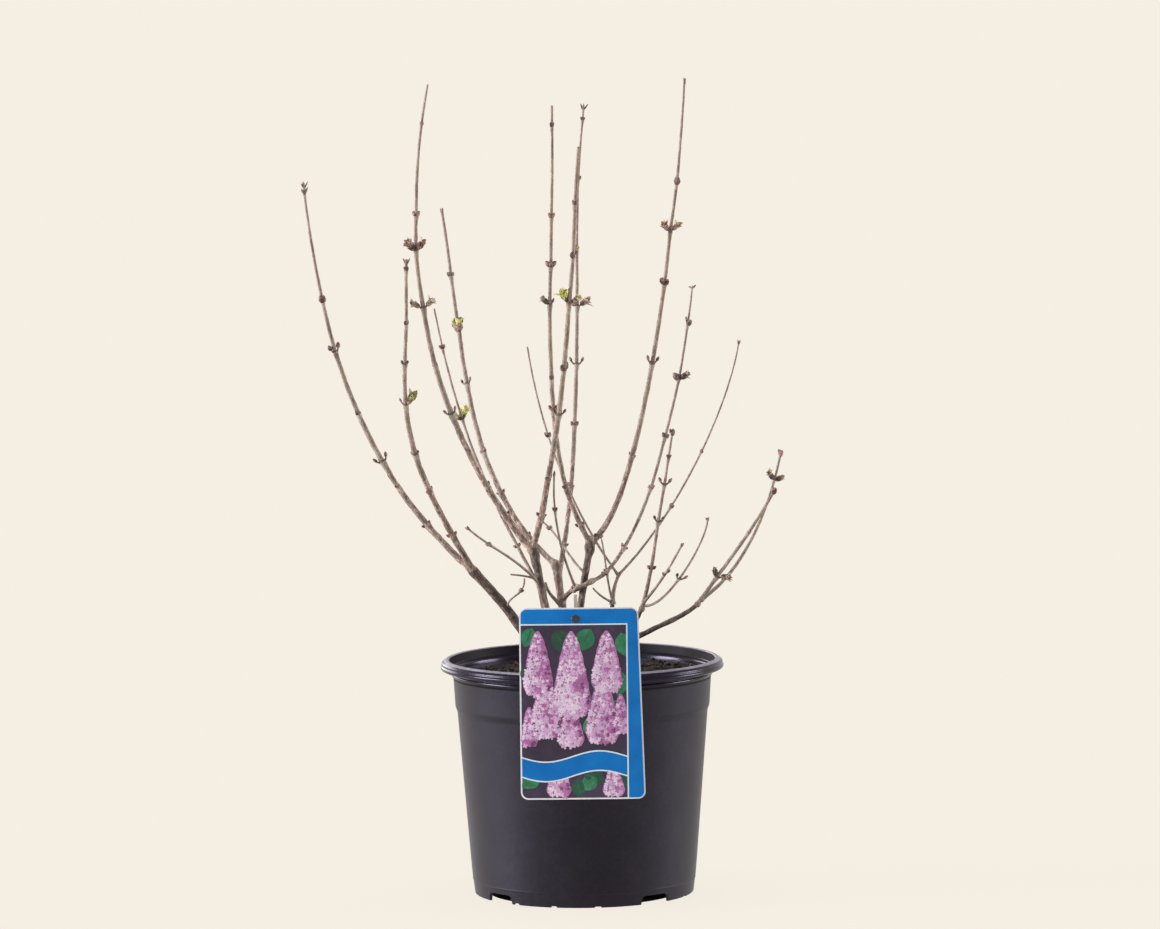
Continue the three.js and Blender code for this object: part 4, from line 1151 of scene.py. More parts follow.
def dress_of(bud, row):
    """What grows at this bud: its row can name it, or it is a closed bud or a spur."""
    plain = "spur" if bud["kind"] == "spur" else "closed"
    return row.get("dress", {}).get(bud["share"], (plain,) * 4)[bud["index"]]


def end_buds(limb, kind, turn, scales, random):
    """The buds at a shoot's tip."""
    along, across, side = limb.frame(1.0)
    towards = swung(across, side, math.radians(turn))
    over = np.cross(along, towards)
    girth = TIP_GIRTH[0] + TIP_GIRTH[1] * limb.thin
    for lean, bearing, length, stout in ENDS[kind]:
        lean = math.radians(lean)
        out = swung(towards, over, math.radians(bearing))
        back = along * (TIP_BUD_PAST - length * math.cos(lean))
        root = limb.place(1.0) + back + out * math.sin(lean) * TIP_BUD_OUT
        axes = bud_axes(swung(along, out, lean), out + TIP_BUD_ASKEW * across)
        closed_bud(scales, root, axes, length, girth * stout, random)


def dormant_buds(limb, share, turn, scales, random):
    """The pair of small buds at a bare node."""
    along, across, side = limb.frame(share)
    towards = swung(across, side, turn)
    middle = limb.place(share) + limb.offset(share)
    for hand in (1, -1):
        out = hand * towards
        root = middle + out * (float(limb.radius(share)) - DORMANT_SUNK)
        size = between(*NOT_ALIKE, random)
        axes = bud_axes(swung(along, out, math.radians(DORMANT["lean"])), out)
        closed_bud(scales, root, axes, DORMANT["length"] * size, DORMANT["radius"] * size, random)


def build_twigs(grown, materials):
    """All masses of twigs, and every bud of the plant."""
    samples = limb_samples(grown)
    twigs, scales, leaves = Shape(), Shape(), Shape()
    masses = []
    for name, entry in grown.items():
        row, limb = entry["row"], entry["limb"]
        dressing = np.random.default_rng(DRESSING_SEED + entry["seed"])
        for share, turn in scars_of(row):
            dormant_buds(limb, share, turn, scales, dressing)
        if entry["parent"] is None or row["entry"] == 1:
            continue
        masses.append(f"twigs_{name}")
        random = Seeded(entry["seed"])
        low = float(limb.distance_at(row["entry"])) - TWIG_SUNK if row["entry"] > 0 else 0
        stems = [(row, limb, row["turn"], low, row["entry"] == 0)]
        stems += [(twig, curve, row["turn"] + SIDE_TWIG_TURN, 0, True) for twig, curve in entry["twigs"]]
        for i, (one, curve, turn, start, collar) in enumerate(stems):
            buds, nodes = buds_on(curve, one, turn, random, name, samples)
            clad_twig(twigs, curve, start, nodes, entry["seed"] + SIDE_TWIG_SEED * i, collar)
            for bud in buds:
                dress_bud(bud, dress_of(bud, one), twigs, scales, leaves, dressing)
            end_buds(curve, one["end"], turn, scales, dressing)
    box = np.array([list(corner) for corner in cad_box]) / MM + [[BOX_MARGIN], [-BOX_MARGIN]]
    twigs.piece("twigs", materials["twig"], "twig", masses, 180, box)
    scales.piece("bud_scales", materials["bud"], "twig", sharp=60, kept_in=box)
    leaves.piece("young_leaves", materials["leaf"], "twig", sharp=60, kept_in=box)


# ---------------------------------------------------------------- pot
# The crest's slot has pale paint, a painted highlight, and the inner wall's slot darker paint, painted
# shade.
WALL, LIP, CREST_HIGHLIGHT, SHADED_INNER_WALL = range(4)  # slots of the pot's materials


def build_pot(materials):
    """The pot as one turned shell, with its notches and nicks cut through the foot ring."""
    shape, cutter = Shape(), Shape()
    shape.add(*turned(rounded([corner for part in POT.values() for corner in part]), POT_SEGMENTS))
    for i in range(NOTCH["count"]):
        bearing = NOTCH["first"] + i * 360 / NOTCH["count"]
        cutter.add(*notch(bearing, NOTCH["wide"], NOTCH["high"], NOTCH["corner"]))
    for bearing, wide, high in NICKS:
        cutter.add(*notch(bearing, wide, high, high))
    mesh = carved(shape.mesh("pot"), cutter.mesh("notches"))
    for face in mesh.polygons:
        face.material_index = pot_slot(face.center.xy.length / MM, face.center.z / MM)
    return finished_piece(mesh, "pot_shell", materials, ["pot"], sharp=30)


def pot_slot(radius, height):
    """The slot here: a wall, the inner wall in painted shade, the glossy lip and ledge, or the crest with
    its painted highlight.
    """
    is_inside = radius < GLOSS["inner_radius"]
    if height < GLOSS["lip"] or (is_inside and height > GLOSS["ledge_top"]):
        return SHADED_INNER_WALL if is_inside and height > GLOSS["inner_foot"] else WALL
    return CREST_HIGHLIGHT if height > GLOSS["painted_highlight_foot"] else LIP


def notch(bearing, wide, high, corner):
    """A block with rounded upper corners, through the foot ring and a little below it."""
    half, top = wide / 2, wide / 2 * NOTCH["narrow"]
    outline = np.array(rounded([(-half, -1, 0), (-top, high, corner), (top, high, corner), (half, -1, 0)]))
    out = polar(1, math.radians(bearing), 0)
    side = np.array([-out[1], out[0], 0])
    across = outline[:, :1] * side + outline[:, 1:] * np.array([0, 0, 1])
    near, far = NOTCH["radius"] - NOTCH["deep"] / 2, NOTCH["radius"] + NOTCH["deep"] / 2
    return prism(np.array([out * near + across, out * far + across]))


def carved(mesh, cutter_mesh):
    """A mesh with another one cut out of it."""
    body, cutter = placed("body", mesh), placed("cutter", cutter_mesh)
    cut = body.modifiers.new("cut", "BOOLEAN")
    cut.operation = "DIFFERENCE"
    cut.solver = "EXACT"
    cut.object = cutter
    return without_modifiers(body, cutter)


# ---------------------------------------------------------------- soil
SOIL_RINGS = 70
SOIL_SEGMENTS = 220
SOIL_RELIEF = [(0.9, 15, 5), (0.7, 5, 6), (0.4, 2, 7)]  # layers of lumps: height, length, seed
# What lies on the soil: how many, their sizes, the power that makes most crumbs small, their length, width
# and height against the size, and how flat they lie.
CRUMBS = {"count": 900, "sizes": (0.5, 2.2), "power": 2.2, "form": (1, 0.85, 0.75), "flat": 0.8}
CHIPS = {"count": 90, "sizes": (1.2, 2.8), "form": (1.7, 0.55, 0.3), "flat": 0.5}
# Their uneven surface and their place: noise of this height, cells to a radius, seed and spread, how far
# they keep from the pot, and how much of their size they stand over the soil.
LUMP = {"rough": 0.35, "cells": 1.7, "seed": 3, "spread": 50, "margin": 3, "stands": 0.25}
CRUMB_SEED = 77
FIBRES = {"count": 60, "lengths": (6, 16), "radius": 0.22, "margin": 12, "bow": 0.5, "stands": 0.3,
          "rings": 8, "sides": 5}
CRUMB, CLOD, CHIP = range(3)  # slots of their materials


def soil_height(x, y):
    """The height of the soil's surface: lumpy, and heaped towards the back."""
    points = np.stack([x, y, np.zeros_like(x)], -1)
    lumps = sum(height * noise(points / length, seed) for height, length, seed in SOIL_RELIEF)
    away = sum(((place - middle) / reach) ** 2
               for place, middle, reach in zip((x, y), HEAP["middle"], HEAP["reach"]))
    return SOIL["top"] + lumps + HEAP["height"] * np.clip(1 - away, 0, 1) ** 0.5


def build_soil(material):
    """The soil as one solid, with a finer grid on its surface than on the pot's inside."""
    angles = circle(SOIL_SEGMENTS)
    (_, foot), *inside = SOIL["inside"]
    rings = [polar(radius, angles, height) for radius, height in inside]
    for share in np.linspace(1, 0, SOIL_RINGS, endpoint=False):
        x, y, _ = polar(SOIL["radius"] * share, angles, 0).T
        rings.append(np.column_stack([x, y, soil_height(x, y)]))
    middle = float(soil_height(np.zeros(1), np.zeros(1))[0])
    shape = Shape()
    shape.add(*capped(np.array(rings), (0, 0, foot), (0, 0, middle)))
    return shape.piece("soil_bed", [material], "soil", ["soil"], sharp=180)


def ball():
    """The vertices and faces of a small ball of triangles: an icosahedron with each face in four."""
    golden = (1 + math.sqrt(5)) / 2
    corners = [(-1, golden, 0), (1, golden, 0), (-1, -golden, 0), (1, -golden, 0)]
    vertices = [corner for turn in range(3) for corner in np.roll(corners, turn, axis=1)]
    faces = [(0, 11, 5), (0, 5, 1), (0, 1, 7), (0, 7, 10), (0, 10, 11), (1, 5, 9), (5, 11, 4), (11, 10, 2)]
    faces += [(10, 7, 6), (7, 1, 8), (3, 9, 4), (3, 4, 2), (3, 2, 6), (3, 6, 8), (3, 8, 9), (4, 9, 5)]
    faces += [(2, 4, 11), (6, 2, 10), (8, 6, 7), (9, 8, 1)]
    middles, finer = {}, []

    def middle(one, other):
        key = (min(one, other), max(one, other))
        if key not in middles:
            middles[key] = len(vertices)
            vertices.append((vertices[one] + vertices[other]) / 2)
        return middles[key]

    for a, b, c in faces:
        ab, bc, ca = middle(a, b), middle(b, c), middle(c, a)
        finer += [(a, ab, ca), (b, bc, ab), (c, ca, bc), (ab, bc, ca)]
    return unit(np.array(vertices)), finer


def turned_at_random(random):
    """The axes of a random turn."""
    axes, _ = np.linalg.qr(random.normal(size=(3, 3)))
    return axes * np.sign(np.linalg.det(axes))


def build_crumbs(materials):
    """Loose crumbs, chips of bark and fibres on the soil."""
    random = np.random.default_rng(CRUMB_SEED)
    shape = Shape()
    for _ in range(CRUMBS["count"]):
        size = lerp(*CRUMBS["sizes"], random.random() ** CRUMBS["power"])
        add_lump(shape, size, CRUMBS, (CRUMB, CLOD)[random.integers(2)], random)
    for _ in range(CHIPS["count"]):
        add_lump(shape, between(*CHIPS["sizes"], random), CHIPS, CHIP, random)
    for _ in range(FIBRES["count"]):
        add_fibre(shape, random)
    return shape.piece("soil_crumbs", materials, "soil", sharp=180)


def place_on_soil(margin, random):
    """The x and y of a random place on the soil that keeps this margin from the pot."""
    reach = (SOIL["radius"] - margin) * math.sqrt(random.random())
    return polar(reach, random.random() * 2 * math.pi, 0)[:2]


def add_lump(shape, size, kind, slot, random):
    """An uneven lump, turned at random, that lies on the soil."""
    points, faces = ball()
    x, y = place_on_soil(LUMP["margin"], random)
    swell = noise(points * LUMP["cells"] + random.random(3) * LUMP["spread"], LUMP["seed"])
    rough = points * (1 + LUMP["rough"] * swell)[:, None]
    rough = (rough * size * np.array(kind["form"])) @ turned_at_random(random)
    rough[:, 2] *= kind["flat"]
    height = float(soil_height(np.array([x]), np.array([y]))[0])
    shape.add(rough + np.array([x, y, height + LUMP["stands"] * size]), faces, slot)


def add_fibre(shape, random):
    """A slightly bowed root fibre that lies on the soil."""
    middle = place_on_soil(FIBRES["margin"], random)
    heading = random.random() * 2 * math.pi
    length = between(*FIBRES["lengths"], random)
    steps = np.linspace(-0.5, 0.5, FIBRES["rings"])
    bow = length * FIBRES["bow"] * (random.random() - 0.5)
    line = np.stack([steps * length, bow * steps**2], -1)
    x, y = (rotated(line, heading) + middle).T
    places = np.column_stack([x, y, soil_height(x, y) + FIBRES["stands"]])
    along = unit(np.gradient(places, axis=0))
    side = unit(np.cross(along, [0, 0, 1.0]))
    radii = np.full((FIBRES["rings"], FIBRES["sides"]), FIBRES["radius"])
    shape.add(*tube(places, np.cross(side, along), side, radii), slot=CHIP)


# ---------------------------------------------------------------- label and stake
FACE = LABEL["stand"] + LABEL["thick"]
EDGE = 1.0  # pale margin round the print
CORNER_STEPS = 8
LABEL_ROWS, LABEL_COLUMNS = 48, 24
STRIP_ROWS, STRIP_COLUMNS = 4, 40
PRINT_SEED = 5
PRINT_SUNK = 0.02  # how far the print reaches into the label
NARROWER = 0.01  # how far the band and the lines start inside the print's ground
# How far each layer of the print stands off the label.
LIFT = {"ground": 0.05, "leaf": 0.1, "shade": 0.14, "rib": 0.22, "floret": (0.2, 0.5), "side_bar": 0.6,
        "header": 0.62, "band": 0.64, "side_line": 0.65, "line": 0.66}
# A flower of the print: its size, its outline, and the sizes of flowers in a head against this one.
FLORET = {"radius": 1.8, "dome": 0.14, "points": 16, "waist": 0.42, "petal": 0.55, "step": 1.25,
          "sizes": (0.75, 1.2), "at_top": 0.7, "at_foot": 1.1}


def label_right(z):
    share = (z - LABEL["foot"]) / (LABEL["top"] - LABEL["foot"])
    return lerp(LABEL["right_at_foot"], LABEL["right_at_top"], share)


def label_front(x):
    """The y of the label's face, whose sides curl back a little."""
    return -FACE + LABEL["curl"] * np.abs(np.asarray(x, float) / LABEL["right_at_foot"]) ** 3


def rounding(size, room):
    """How much the rounding of a corner takes away where there is this much room to the corner's side."""
    lack = np.clip(size - room, 0, size)
    return size - np.sqrt(np.maximum(size**2 - lack**2, 0))


def corner_inset(z, inset):
    """How far a rounded corner pulls the label's sides in at this height."""
    room = np.minimum(z - LABEL["foot"] - inset, LABEL["top"] - inset - z)
    return rounding(LABEL["corner"] - inset, room)


def corner_rise(size, endpoint=False):
    """Heights from the foot of a rounded corner, closer where it curves more."""
    return size * (1 - np.cos(np.linspace(0, np.pi / 2, CORNER_STEPS, endpoint=endpoint)))


def label_grid(inset, lift):
    """Points of the label's face inside a margin, lifted off it by this much."""
    size = LABEL["corner"]
    low, high = LABEL["foot"] + inset, LABEL["top"] - inset
    middle = np.linspace(low + size, high - size, LABEL_ROWS - 2 * CORNER_STEPS)
    z = np.concatenate([low + corner_rise(size), middle, high - corner_rise(size)[::-1]])
    pull = corner_inset(z, inset)
    left, right = LABEL["left"] + inset + pull, label_right(z) - inset - pull
    x = lerp(left[:, None], right[:, None], np.linspace(0, 1, LABEL_COLUMNS))
    return np.stack(np.broadcast_arrays(x, label_front(x) - lift, z[:, None]), -1)


def build_label(material):
    shape = Shape()
    shape.add(*shell(label_grid(0, 0), label_grid(0, -LABEL["thick"])))
    return shape.piece("label_plate", [material], "label", ["label"], sharp=40)


def raised(x, z, lift):
    """A printed patch over a grid of places on the label's face."""
    front = np.stack(np.broadcast_arrays(x, label_front(x) - lift, z), -1)
    return shell(front, front + np.array([0, lift + PRINT_SUNK, 0]))


def strip(shape, lower, upper, left, right, lift, slot):
    """A printed area between two lines, each given as a height for each x."""
    x = np.linspace(left, right, STRIP_COLUMNS)
    z = lerp(lower(x), upper(x), np.linspace(0, 1, STRIP_ROWS)[:, None])
    shape.add(*raised(x, z, lift), slot=slot)


def pad(x, z, outline, lift, dome=0):
    """A low closed pad on the label's face, with its middle raised."""
    count = len(outline)
    points = outline + np.array([x, z])
    y = label_front(points[:, 0])
    base = np.stack([points[:, 0], y + PRINT_SUNK, points[:, 1]], -1)
    top = np.stack([points[:, 0], y - lift, points[:, 1]], -1)
    middle = (x, float(label_front(x)) - lift - dome, z)
    faces = grid_faces(2, count, wrap=True)
    faces += [(count + i, count + (i + 1) % count, 2 * count) for i in range(count)]
    return np.vstack([base, top, [middle]]), [*faces, tuple(reversed(range(count)))]


def petals(radius, turn):
    """The outline of a flower of four petals."""
    angles = circle(FLORET["points"])
    reach = FLORET["waist"] + (1 - FLORET["waist"]) * np.abs(np.cos(2 * angles)) ** FLORET["petal"]
    return polar(radius * reach, angles + turn, 0)[:, :2]


def heart(length, turn):
    """The outline of a heart-shaped leaf that hangs from the origin."""
    share = np.linspace(0, 1, HEART["points"])
    half = HEART["half"] * np.sin(np.pi * share ** HEART["low"]) ** HEART["full"]
    right = length * np.stack([half, HEART["lobe"] * np.exp(-share * HEART["fade"]) - share], -1)
    left = right[-2:0:-1] * np.array([-1, 1])
    return rotated(np.vstack([right, left]), turn)


# Slots of the print's materials.
NIGHT, BLUE, WHITE, LEAF, DEEP_LEAF, PALE, PINK, ROSE, WINE = range(9)
# The upper edge of the band and its waves, and how wide the band is.
WAVE = {"middle": 104, "height": 3.6, "length": 70, "start": 0.6, "band": 12}
HEADER = 192  # height of the header's foot
SIDE_BAR = {"wide": 7, "rows": 30, "columns": 6}  # the bar on the right
LINE = 0.9  # width of the pale lines
HEAD = {"foot": 0.62, "widen": 2.2, "point": 0.6}  # the outline of a head of blossom
SHADE = {"points": 14, "margin": 0.8, "wave": 0.06, "waves": 40}  # the deep colour behind it
# The tones of its flowers: the middle one, how far a whole head is off it, how much deeper they get towards
# the right, how much lumps of flowers and single ones vary, and the lumps' length and seed.
TONE = {"middle": -0.12, "heads": 0.175, "aside": 1.1, "lumps": 0.5, "flowers": 0.3, "length": 6, "seed": 12}
DEEPER_FROM = (-0.2, 0.22, 0.5)  # the tones at which each next deeper ink starts
SCATTER = {"aside": 0.65, "up": 0.75}  # how far the flowers are off their rows
# A heart-shaped leaf: half its width against its length, the powers that shape its sides, and how far its
# upper lobes rise and how soon they end.
HEART = {"points": 12, "half": 0.42, "low": 0.75, "full": 0.8, "lobe": 0.12, "fade": 9}
LEAF_DOME = 0.05
LIGHT_LEAVES = 0.55  # the share of the leaves that are of the lighter green
RIB = {"length": 0.85, "foot": 0.16, "point": 0.05}  # the rib's half width at its foot and its point
PICTURE = {"left": LABEL["left"] + EDGE, "right": LABEL["right_at_top"] - EDGE - SIDE_BAR["wide"]}
# Upright heads of blossom on the print: x, foot, height, width.
PANICLES = [(-29, 146, 42, 21), (16, 148, 40, 22), (-7, 132, 56, 27), (-24, 118, 40, 23),
            (13, 114, 44, 24), (-35, 112, 26, 11), (25, 120, 26, 11), (-8, 112, 26, 19),
            (-16, 79, 22, 17), (20, 79, 20, 15)]
# Heart-shaped leaves on the print: x and height of the stalk's end, length, turn in radians.
LEAVES = [(-37, 164, 12, 0.3), (-17, 186, 16, 0.6), (5, 187, 15, -0.5), (26, 184, 15, 0.3),
          (-33, 188, 12, -0.4), (26, 158, 14, -0.2), (3, 128, 13, 0.5), (-16, 126, 11, 0.1),
          (22, 140, 12, -0.5), (-31, 124, 10, -0.3), (2, 92, 13, 1.3), (-30, 92, 13, -0.9),
          (8, 90, 12, -0.9), (-4, 88, 11, 0.2), (27, 92, 12, 0.4)]


def wave(offset):
    """The wavy line that lies this much over the band's upper edge."""
    def line(x):
        turn = x / WAVE["length"] * 2 * np.pi + WAVE["start"]
        return WAVE["middle"] + offset + WAVE["height"] * np.sin(turn)
    return line


def level(height):
    """A level line at this height."""
    return lambda x: height + 0 * x


def head_half(share, width):
    """Half the width of a head of blossom at a share of its height."""
    return width / 2 * np.minimum(1, HEAD["foot"] + HEAD["widen"] * share) * (1 - share) ** HEAD["point"]


def panicle(shape, random, x, foot, height, width):
    """A cone of small four-petalled flowers in rows, pale where the light falls and deep in its shade."""
    shape.add(*shade_of_head(x, foot, height, width), slot=ROSE)
    tone = within(TONE["heads"], random) + TONE["middle"]
    step = FLORET["radius"] * FLORET["step"]
    for row in range(int(height / step)):
        share = row * step / height
        half = head_half(share, width)
        count = max(1, int(2 * half / step))
        for i in range(count):
            aside = (2 * (i + 0.5) / count - 1) * half + within(SCATTER["aside"], random)
            up = row * step + within(SCATTER["up"], random)
            place = np.array([[(x + aside) / TONE["length"], (foot + up) / TONE["length"], 0.5]])
            lump = TONE["lumps"] * float(noise(place, TONE["seed"])[0])
            shade = tone + aside / width * TONE["aside"] + lump + within(TONE["flowers"], random)
            slot = (PALE, PINK, ROSE, WINE)[np.searchsorted(DEEPER_FROM, shade, side="right")]
            size = FLORET["radius"] * lerp(FLORET["at_foot"], FLORET["at_top"], share)
            size *= between(*FLORET["sizes"], random)
            lift = between(*LIFT["floret"], random)
            outline = petals(size, random.random() * math.pi)
            shape.add(*pad(x + aside, foot + up, outline, lift, FLORET["dome"]), slot=slot)


def shade_of_head(x, foot, height, width):
    """The deep colour behind a head of blossom, which shows between its flowers."""
    share = np.linspace(0, 1, SHADE["points"])
    waves = 1 + SHADE["wave"] * np.sin(share * SHADE["waves"])
    half = (head_half(share, width) + SHADE["margin"]) * waves
    right = np.stack([half, share * height - SHADE["margin"]], -1)
    outline = np.vstack([right, (right * np.array([-1, 1]))[::-1]])
    return pad(x, foot, outline, LIFT["shade"])


def leaf_print(shape, random, x, z, length, turn):
    """A leaf with a rib of the other green."""
    green, rib_green = (LEAF, DEEP_LEAF) if random.random() < LIGHT_LEAVES else (DEEP_LEAF, LEAF)
    shape.add(*pad(x, z, heart(length, turn), LIFT["leaf"], LEAF_DOME), slot=green)
    foot, point, end = RIB["foot"], RIB["point"], -RIB["length"] * length
    rib = rotated(np.array([[-point, end], [point, end], [foot, 0], [-foot, 0]]), turn)
    shape.add(*pad(x, z, rib, LIFT["rib"]), slot=rib_green)


def build_print(materials):
    """A generic picture of blossom and leaves, framed by a header, a side bar and a wavy band."""
    random = np.random.default_rng(PRINT_SEED)
    shape = Shape()
    ground = shell(label_grid(EDGE, LIFT["ground"]), label_grid(EDGE, -PRINT_SUNK))
    shape.add(*ground, slot=NIGHT)
    for row in LEAVES:
        leaf_print(shape, random, *row)
    for row in PANICLES:
        panicle(shape, random, *row)
    frame_print(shape)
    return shape.piece("label_print", materials, "label", sharp=35)


def frame_print(shape):
    """The coloured header, side bar and band, with pale lines between them and the picture."""
    left, right = PICTURE["left"], PICTURE["right"]
    band = -WAVE["band"]
    strip(shape, wave(band), wave(0), left + NARROWER, right + LINE, LIFT["band"], BLUE)
    strip(shape, level(HEADER), label_top, left, LABEL["right_at_top"] - EDGE, LIFT["header"], BLUE)
    lines = [(wave(0), wave(LINE)), (wave(band - LINE), wave(band)), (level(HEADER - LINE), level(HEADER))]
    for lower, upper in lines:
        strip(shape, lower, upper, left + NARROWER, right + LINE, LIFT["line"], WHITE)
    side_bar(shape, right + LINE, HEADER, LIFT["side_bar"], BLUE)
    side_bar(shape, right, HEADER - LINE, LIFT["side_line"], WHITE)


def side_bar(shape, left, top, lift, slot):
    """An upright bar on the label's right: blue as far as the slanting edge, or a white line."""
    low, size = LABEL["foot"] + EDGE, LABEL["corner"] - EDGE
    upright = np.linspace(low + size + 1, top, SIDE_BAR["rows"])
    z = np.concatenate([low + corner_rise(size, endpoint=True), upright])
    edge = label_right(z) - EDGE - corner_inset(z, EDGE)
    right = edge if slot == BLUE else np.full(len(z), left + LINE)
    x = lerp(left, right[:, None], np.linspace(0, 1, SIDE_BAR["columns"]))
    shape.add(*raised(x, z[:, None], lift), slot=slot)


def label_top(x):
    """The top of the print, with its rounded corners."""
    room = np.minimum(x - PICTURE["left"], LABEL["right_at_top"] - EDGE - x)
    return LABEL["top"] - EDGE - rounding(LABEL["corner"] - EDGE, room)


STAKE_SIDES = 20
STAKE_RINGS = 12
STAKE_CORNER = 0.32  # the power that squares its rounded section
STAKE_POINT = {0: 0.25, 3: 0.6, 9: 0.95}  # its width at the point, by the height over its foot
STAKE_STRAIGHT = 120  # the height from which it is straight
STAKE_END = {1.2: 1, 0.4: 0.9, 0: 0.6}  # its width at the top, by the depth under it
STAKE_FLAT = 0.4  # how much less its depth narrows than its width
PEG_SEGMENTS = 32


def build_stake(materials):
    """The slim strip that carries the label, and the peg that holds the label to it."""
    low_rings = [STAKE["foot"] + rise for rise in STAKE_POINT]
    under_top, *top_rings = [STAKE["top"] - depth for depth in STAKE_END]
    heights = np.array([*low_rings, *np.linspace(STAKE_STRAIGHT, under_top, STAKE_RINGS), *top_rings])
    widths = np.array([*STAKE_POINT.values(), *np.ones(STAKE_RINGS - 1), *STAKE_END.values()])
    angles = circle(STAKE_SIDES)
    across, deep = (np.sign(one) * np.abs(one) ** STAKE_CORNER for one in (np.cos(angles), np.sin(angles)))
    x = STAKE["x"] + np.outer(widths, across) * STAKE["wide"] / 2
    y = STAKE["y"] + np.outer(lerp(widths, 1, STAKE_FLAT), deep) * STAKE["deep"] / 2
    shape = Shape()
    shape.add(*prism(np.stack(np.broadcast_arrays(x, y, heights[:, None]), -1)))
    shape.add(*peg(), slot=1)
    return shape.piece("stake_strip", materials, "stake", ["label_stake"], sharp=40)


def peg():
    """The peg from its round head, in front of the label, back to the strip."""
    front = -FACE - GAP - PEG_HEAD["thick"]
    reach = STAKE["y"] - front
    head, neck, thick = PEG_HEAD["radius"], STAKE["peg_radius"], PEG_HEAD["thick"]
    corners = [(0, 0, 0), (head, 0, 0.5), (head, thick, 0.2)]
    corners += [(neck, thick, 0.1), (neck, reach, 0.2), (0, reach, 0)]
    vertices, faces = turned(rounded(corners), PEG_SEGMENTS)
    x, z, y = vertices.T
    return np.column_stack([STAKE["x"] + x, front + y, STAKE["peg_height"] - z]), faces


# ---------------------------------------------------------------- materials
RAMP = (0.34, 0.66)  # where the noise turns the colour to its dark and its pale end
BROADER = 6  # how much longer the broad grain is than the fine one
RELIEF = 0.8  # strength of the fine relief
WOOD = {"rough": (0.6, 0.85), "stretch": (1, 1, 0.35)}
POT_GRAIN = 0.35
# Each of these is a grain in cycles a millimetre, a range of roughness and the height of the relief.
BUD_SKIN = (1.6, (0.5, 0.7), 0.05)
LEAF_SKIN = (1.2, (0.45, 0.65), 0.04)
STAKE_SKIN = (0.2, (0.4, 0.5), 0.02)
PAPER = (0.004, (0.9, 0.95), 0)
# And these are the same without the grain.
INK_GLOSS = ((0.28, 0.36), 0.01)
LABEL_GLOSS = ((0.25, 0.33), 0.01)
# The dark, middle and pale paint of each material, as seen on a screen from 0 to 255. A table is in the
# order of its slots, and a row may go on with the grain, the roughness, the relief and the grain's stretch.
CRUMB_PAINTS = [
    ("peat_crumb", (18, 12, 11), (36, 24, 21), (60, 42, 37), 0.7, (0.85, 1), 0.3),
    ("peat_clod", (11, 8, 8), (22, 15, 14), (38, 28, 25), 0.7, (0.85, 1), 0.3),
    ("bark_chip", (50, 32, 24), (84, 57, 42), (118, 85, 65), 0.8, (0.7, 0.9), 0.2, (1, 1, 0.4)),
]
BARK_PAINTS = [
    ("old_bark", (50, 41, 36), (86, 73, 64), (130, 113, 101)),
    ("young_bark", (82, 69, 61), (130, 111, 100), (178, 157, 143)),
    # The cracked bark's dark paint is partly painted shade, and the flakes' pale paint partly a painted
    # highlight.
    ("cracked_bark_and_shade", (46, 38, 33), (74, 61, 54), (106, 91, 81)),
    ("flaking_bark_and_highlight", (126, 106, 97), (172, 149, 137), (222, 200, 186)),
    ("old_flake_and_highlight", (84, 71, 62), (124, 107, 96), (164, 146, 134)),
]
TWIG_PAINTS = [
    ("shoot_skin", (100, 87, 77), (142, 126, 114), (178, 161, 148), 1.4, 0.12),
    ("spur_skin", (70, 58, 52), (106, 90, 80), (142, 124, 112), 1.6, 0.1),
    ("shoot_shoulder", (120, 110, 98), (156, 146, 132), (184, 174, 160), 1.4, 0.12),
    ("shoot_dark", (70, 57, 52), (98, 81, 74), (128, 109, 100), 1.4, 0.12),
]
BUD_PAINTS = [
    ("bud_brown", (82, 58, 54), (120, 92, 86), (158, 132, 124)),
    ("bud_purple", (54, 38, 40), (82, 58, 58), (114, 86, 82)),
    ("bud_rose", (118, 86, 80), (156, 122, 116), (188, 158, 150)),
]
LEAF_PAINTS = [
    ("leaf_lime", (166, 154, 84), (200, 192, 112), (222, 216, 140)),
    ("leaf_olive", (104, 98, 62), (140, 134, 88), (174, 168, 116)),
    ("leaf_pale", (176, 170, 124), (202, 196, 150), (222, 216, 178)),
    ("leaf_rose", (120, 82, 76), (152, 112, 104), (186, 150, 140)),
    ("leaf_fresh", (176, 168, 72), (212, 206, 100), (230, 226, 134)),
    ("leaf_grey", (92, 86, 72), (124, 118, 100), (156, 150, 132)),
    ("leaf_tan", (146, 124, 102), (176, 154, 128), (204, 184, 158)),
]
INKS = [
    ("print_night", (34, 24, 48), (50, 36, 66), (68, 52, 86), 0.12),
    ("print_leaf", (14, 92, 62), (28, 118, 80), (60, 146, 102), 0.25),
    ("print_deep_leaf", (8, 56, 42), (16, 76, 56), (30, 98, 74), 0.25),
    ("print_pale", (216, 190, 222), (232, 210, 236), (246, 232, 248), 0.4),
    ("print_pink", (196, 150, 198), (214, 172, 214), (230, 194, 230), 0.4),
    ("print_rose", (156, 92, 152), (182, 114, 174), (204, 142, 196), 0.4),
    ("print_wine", (98, 44, 96), (126, 62, 120), (150, 86, 144), 0.4),
]
STAKE_PAINTS = [
    ("stake_plastic", (176, 170, 154), (190, 184, 168), (202, 198, 184)),
    ("peg_plastic", (44, 42, 50), (54, 52, 60), (66, 64, 72)),
]


def paint(red, green, blue):
    """A colour as seen on a screen, from 0 to 255, as light."""
    def light(value):
        value /= 255
        return value / 12.92 if value <= 0.04045 else ((value + 0.055) / 1.055) ** 2.4
    return (light(red), light(green), light(blue), 1)


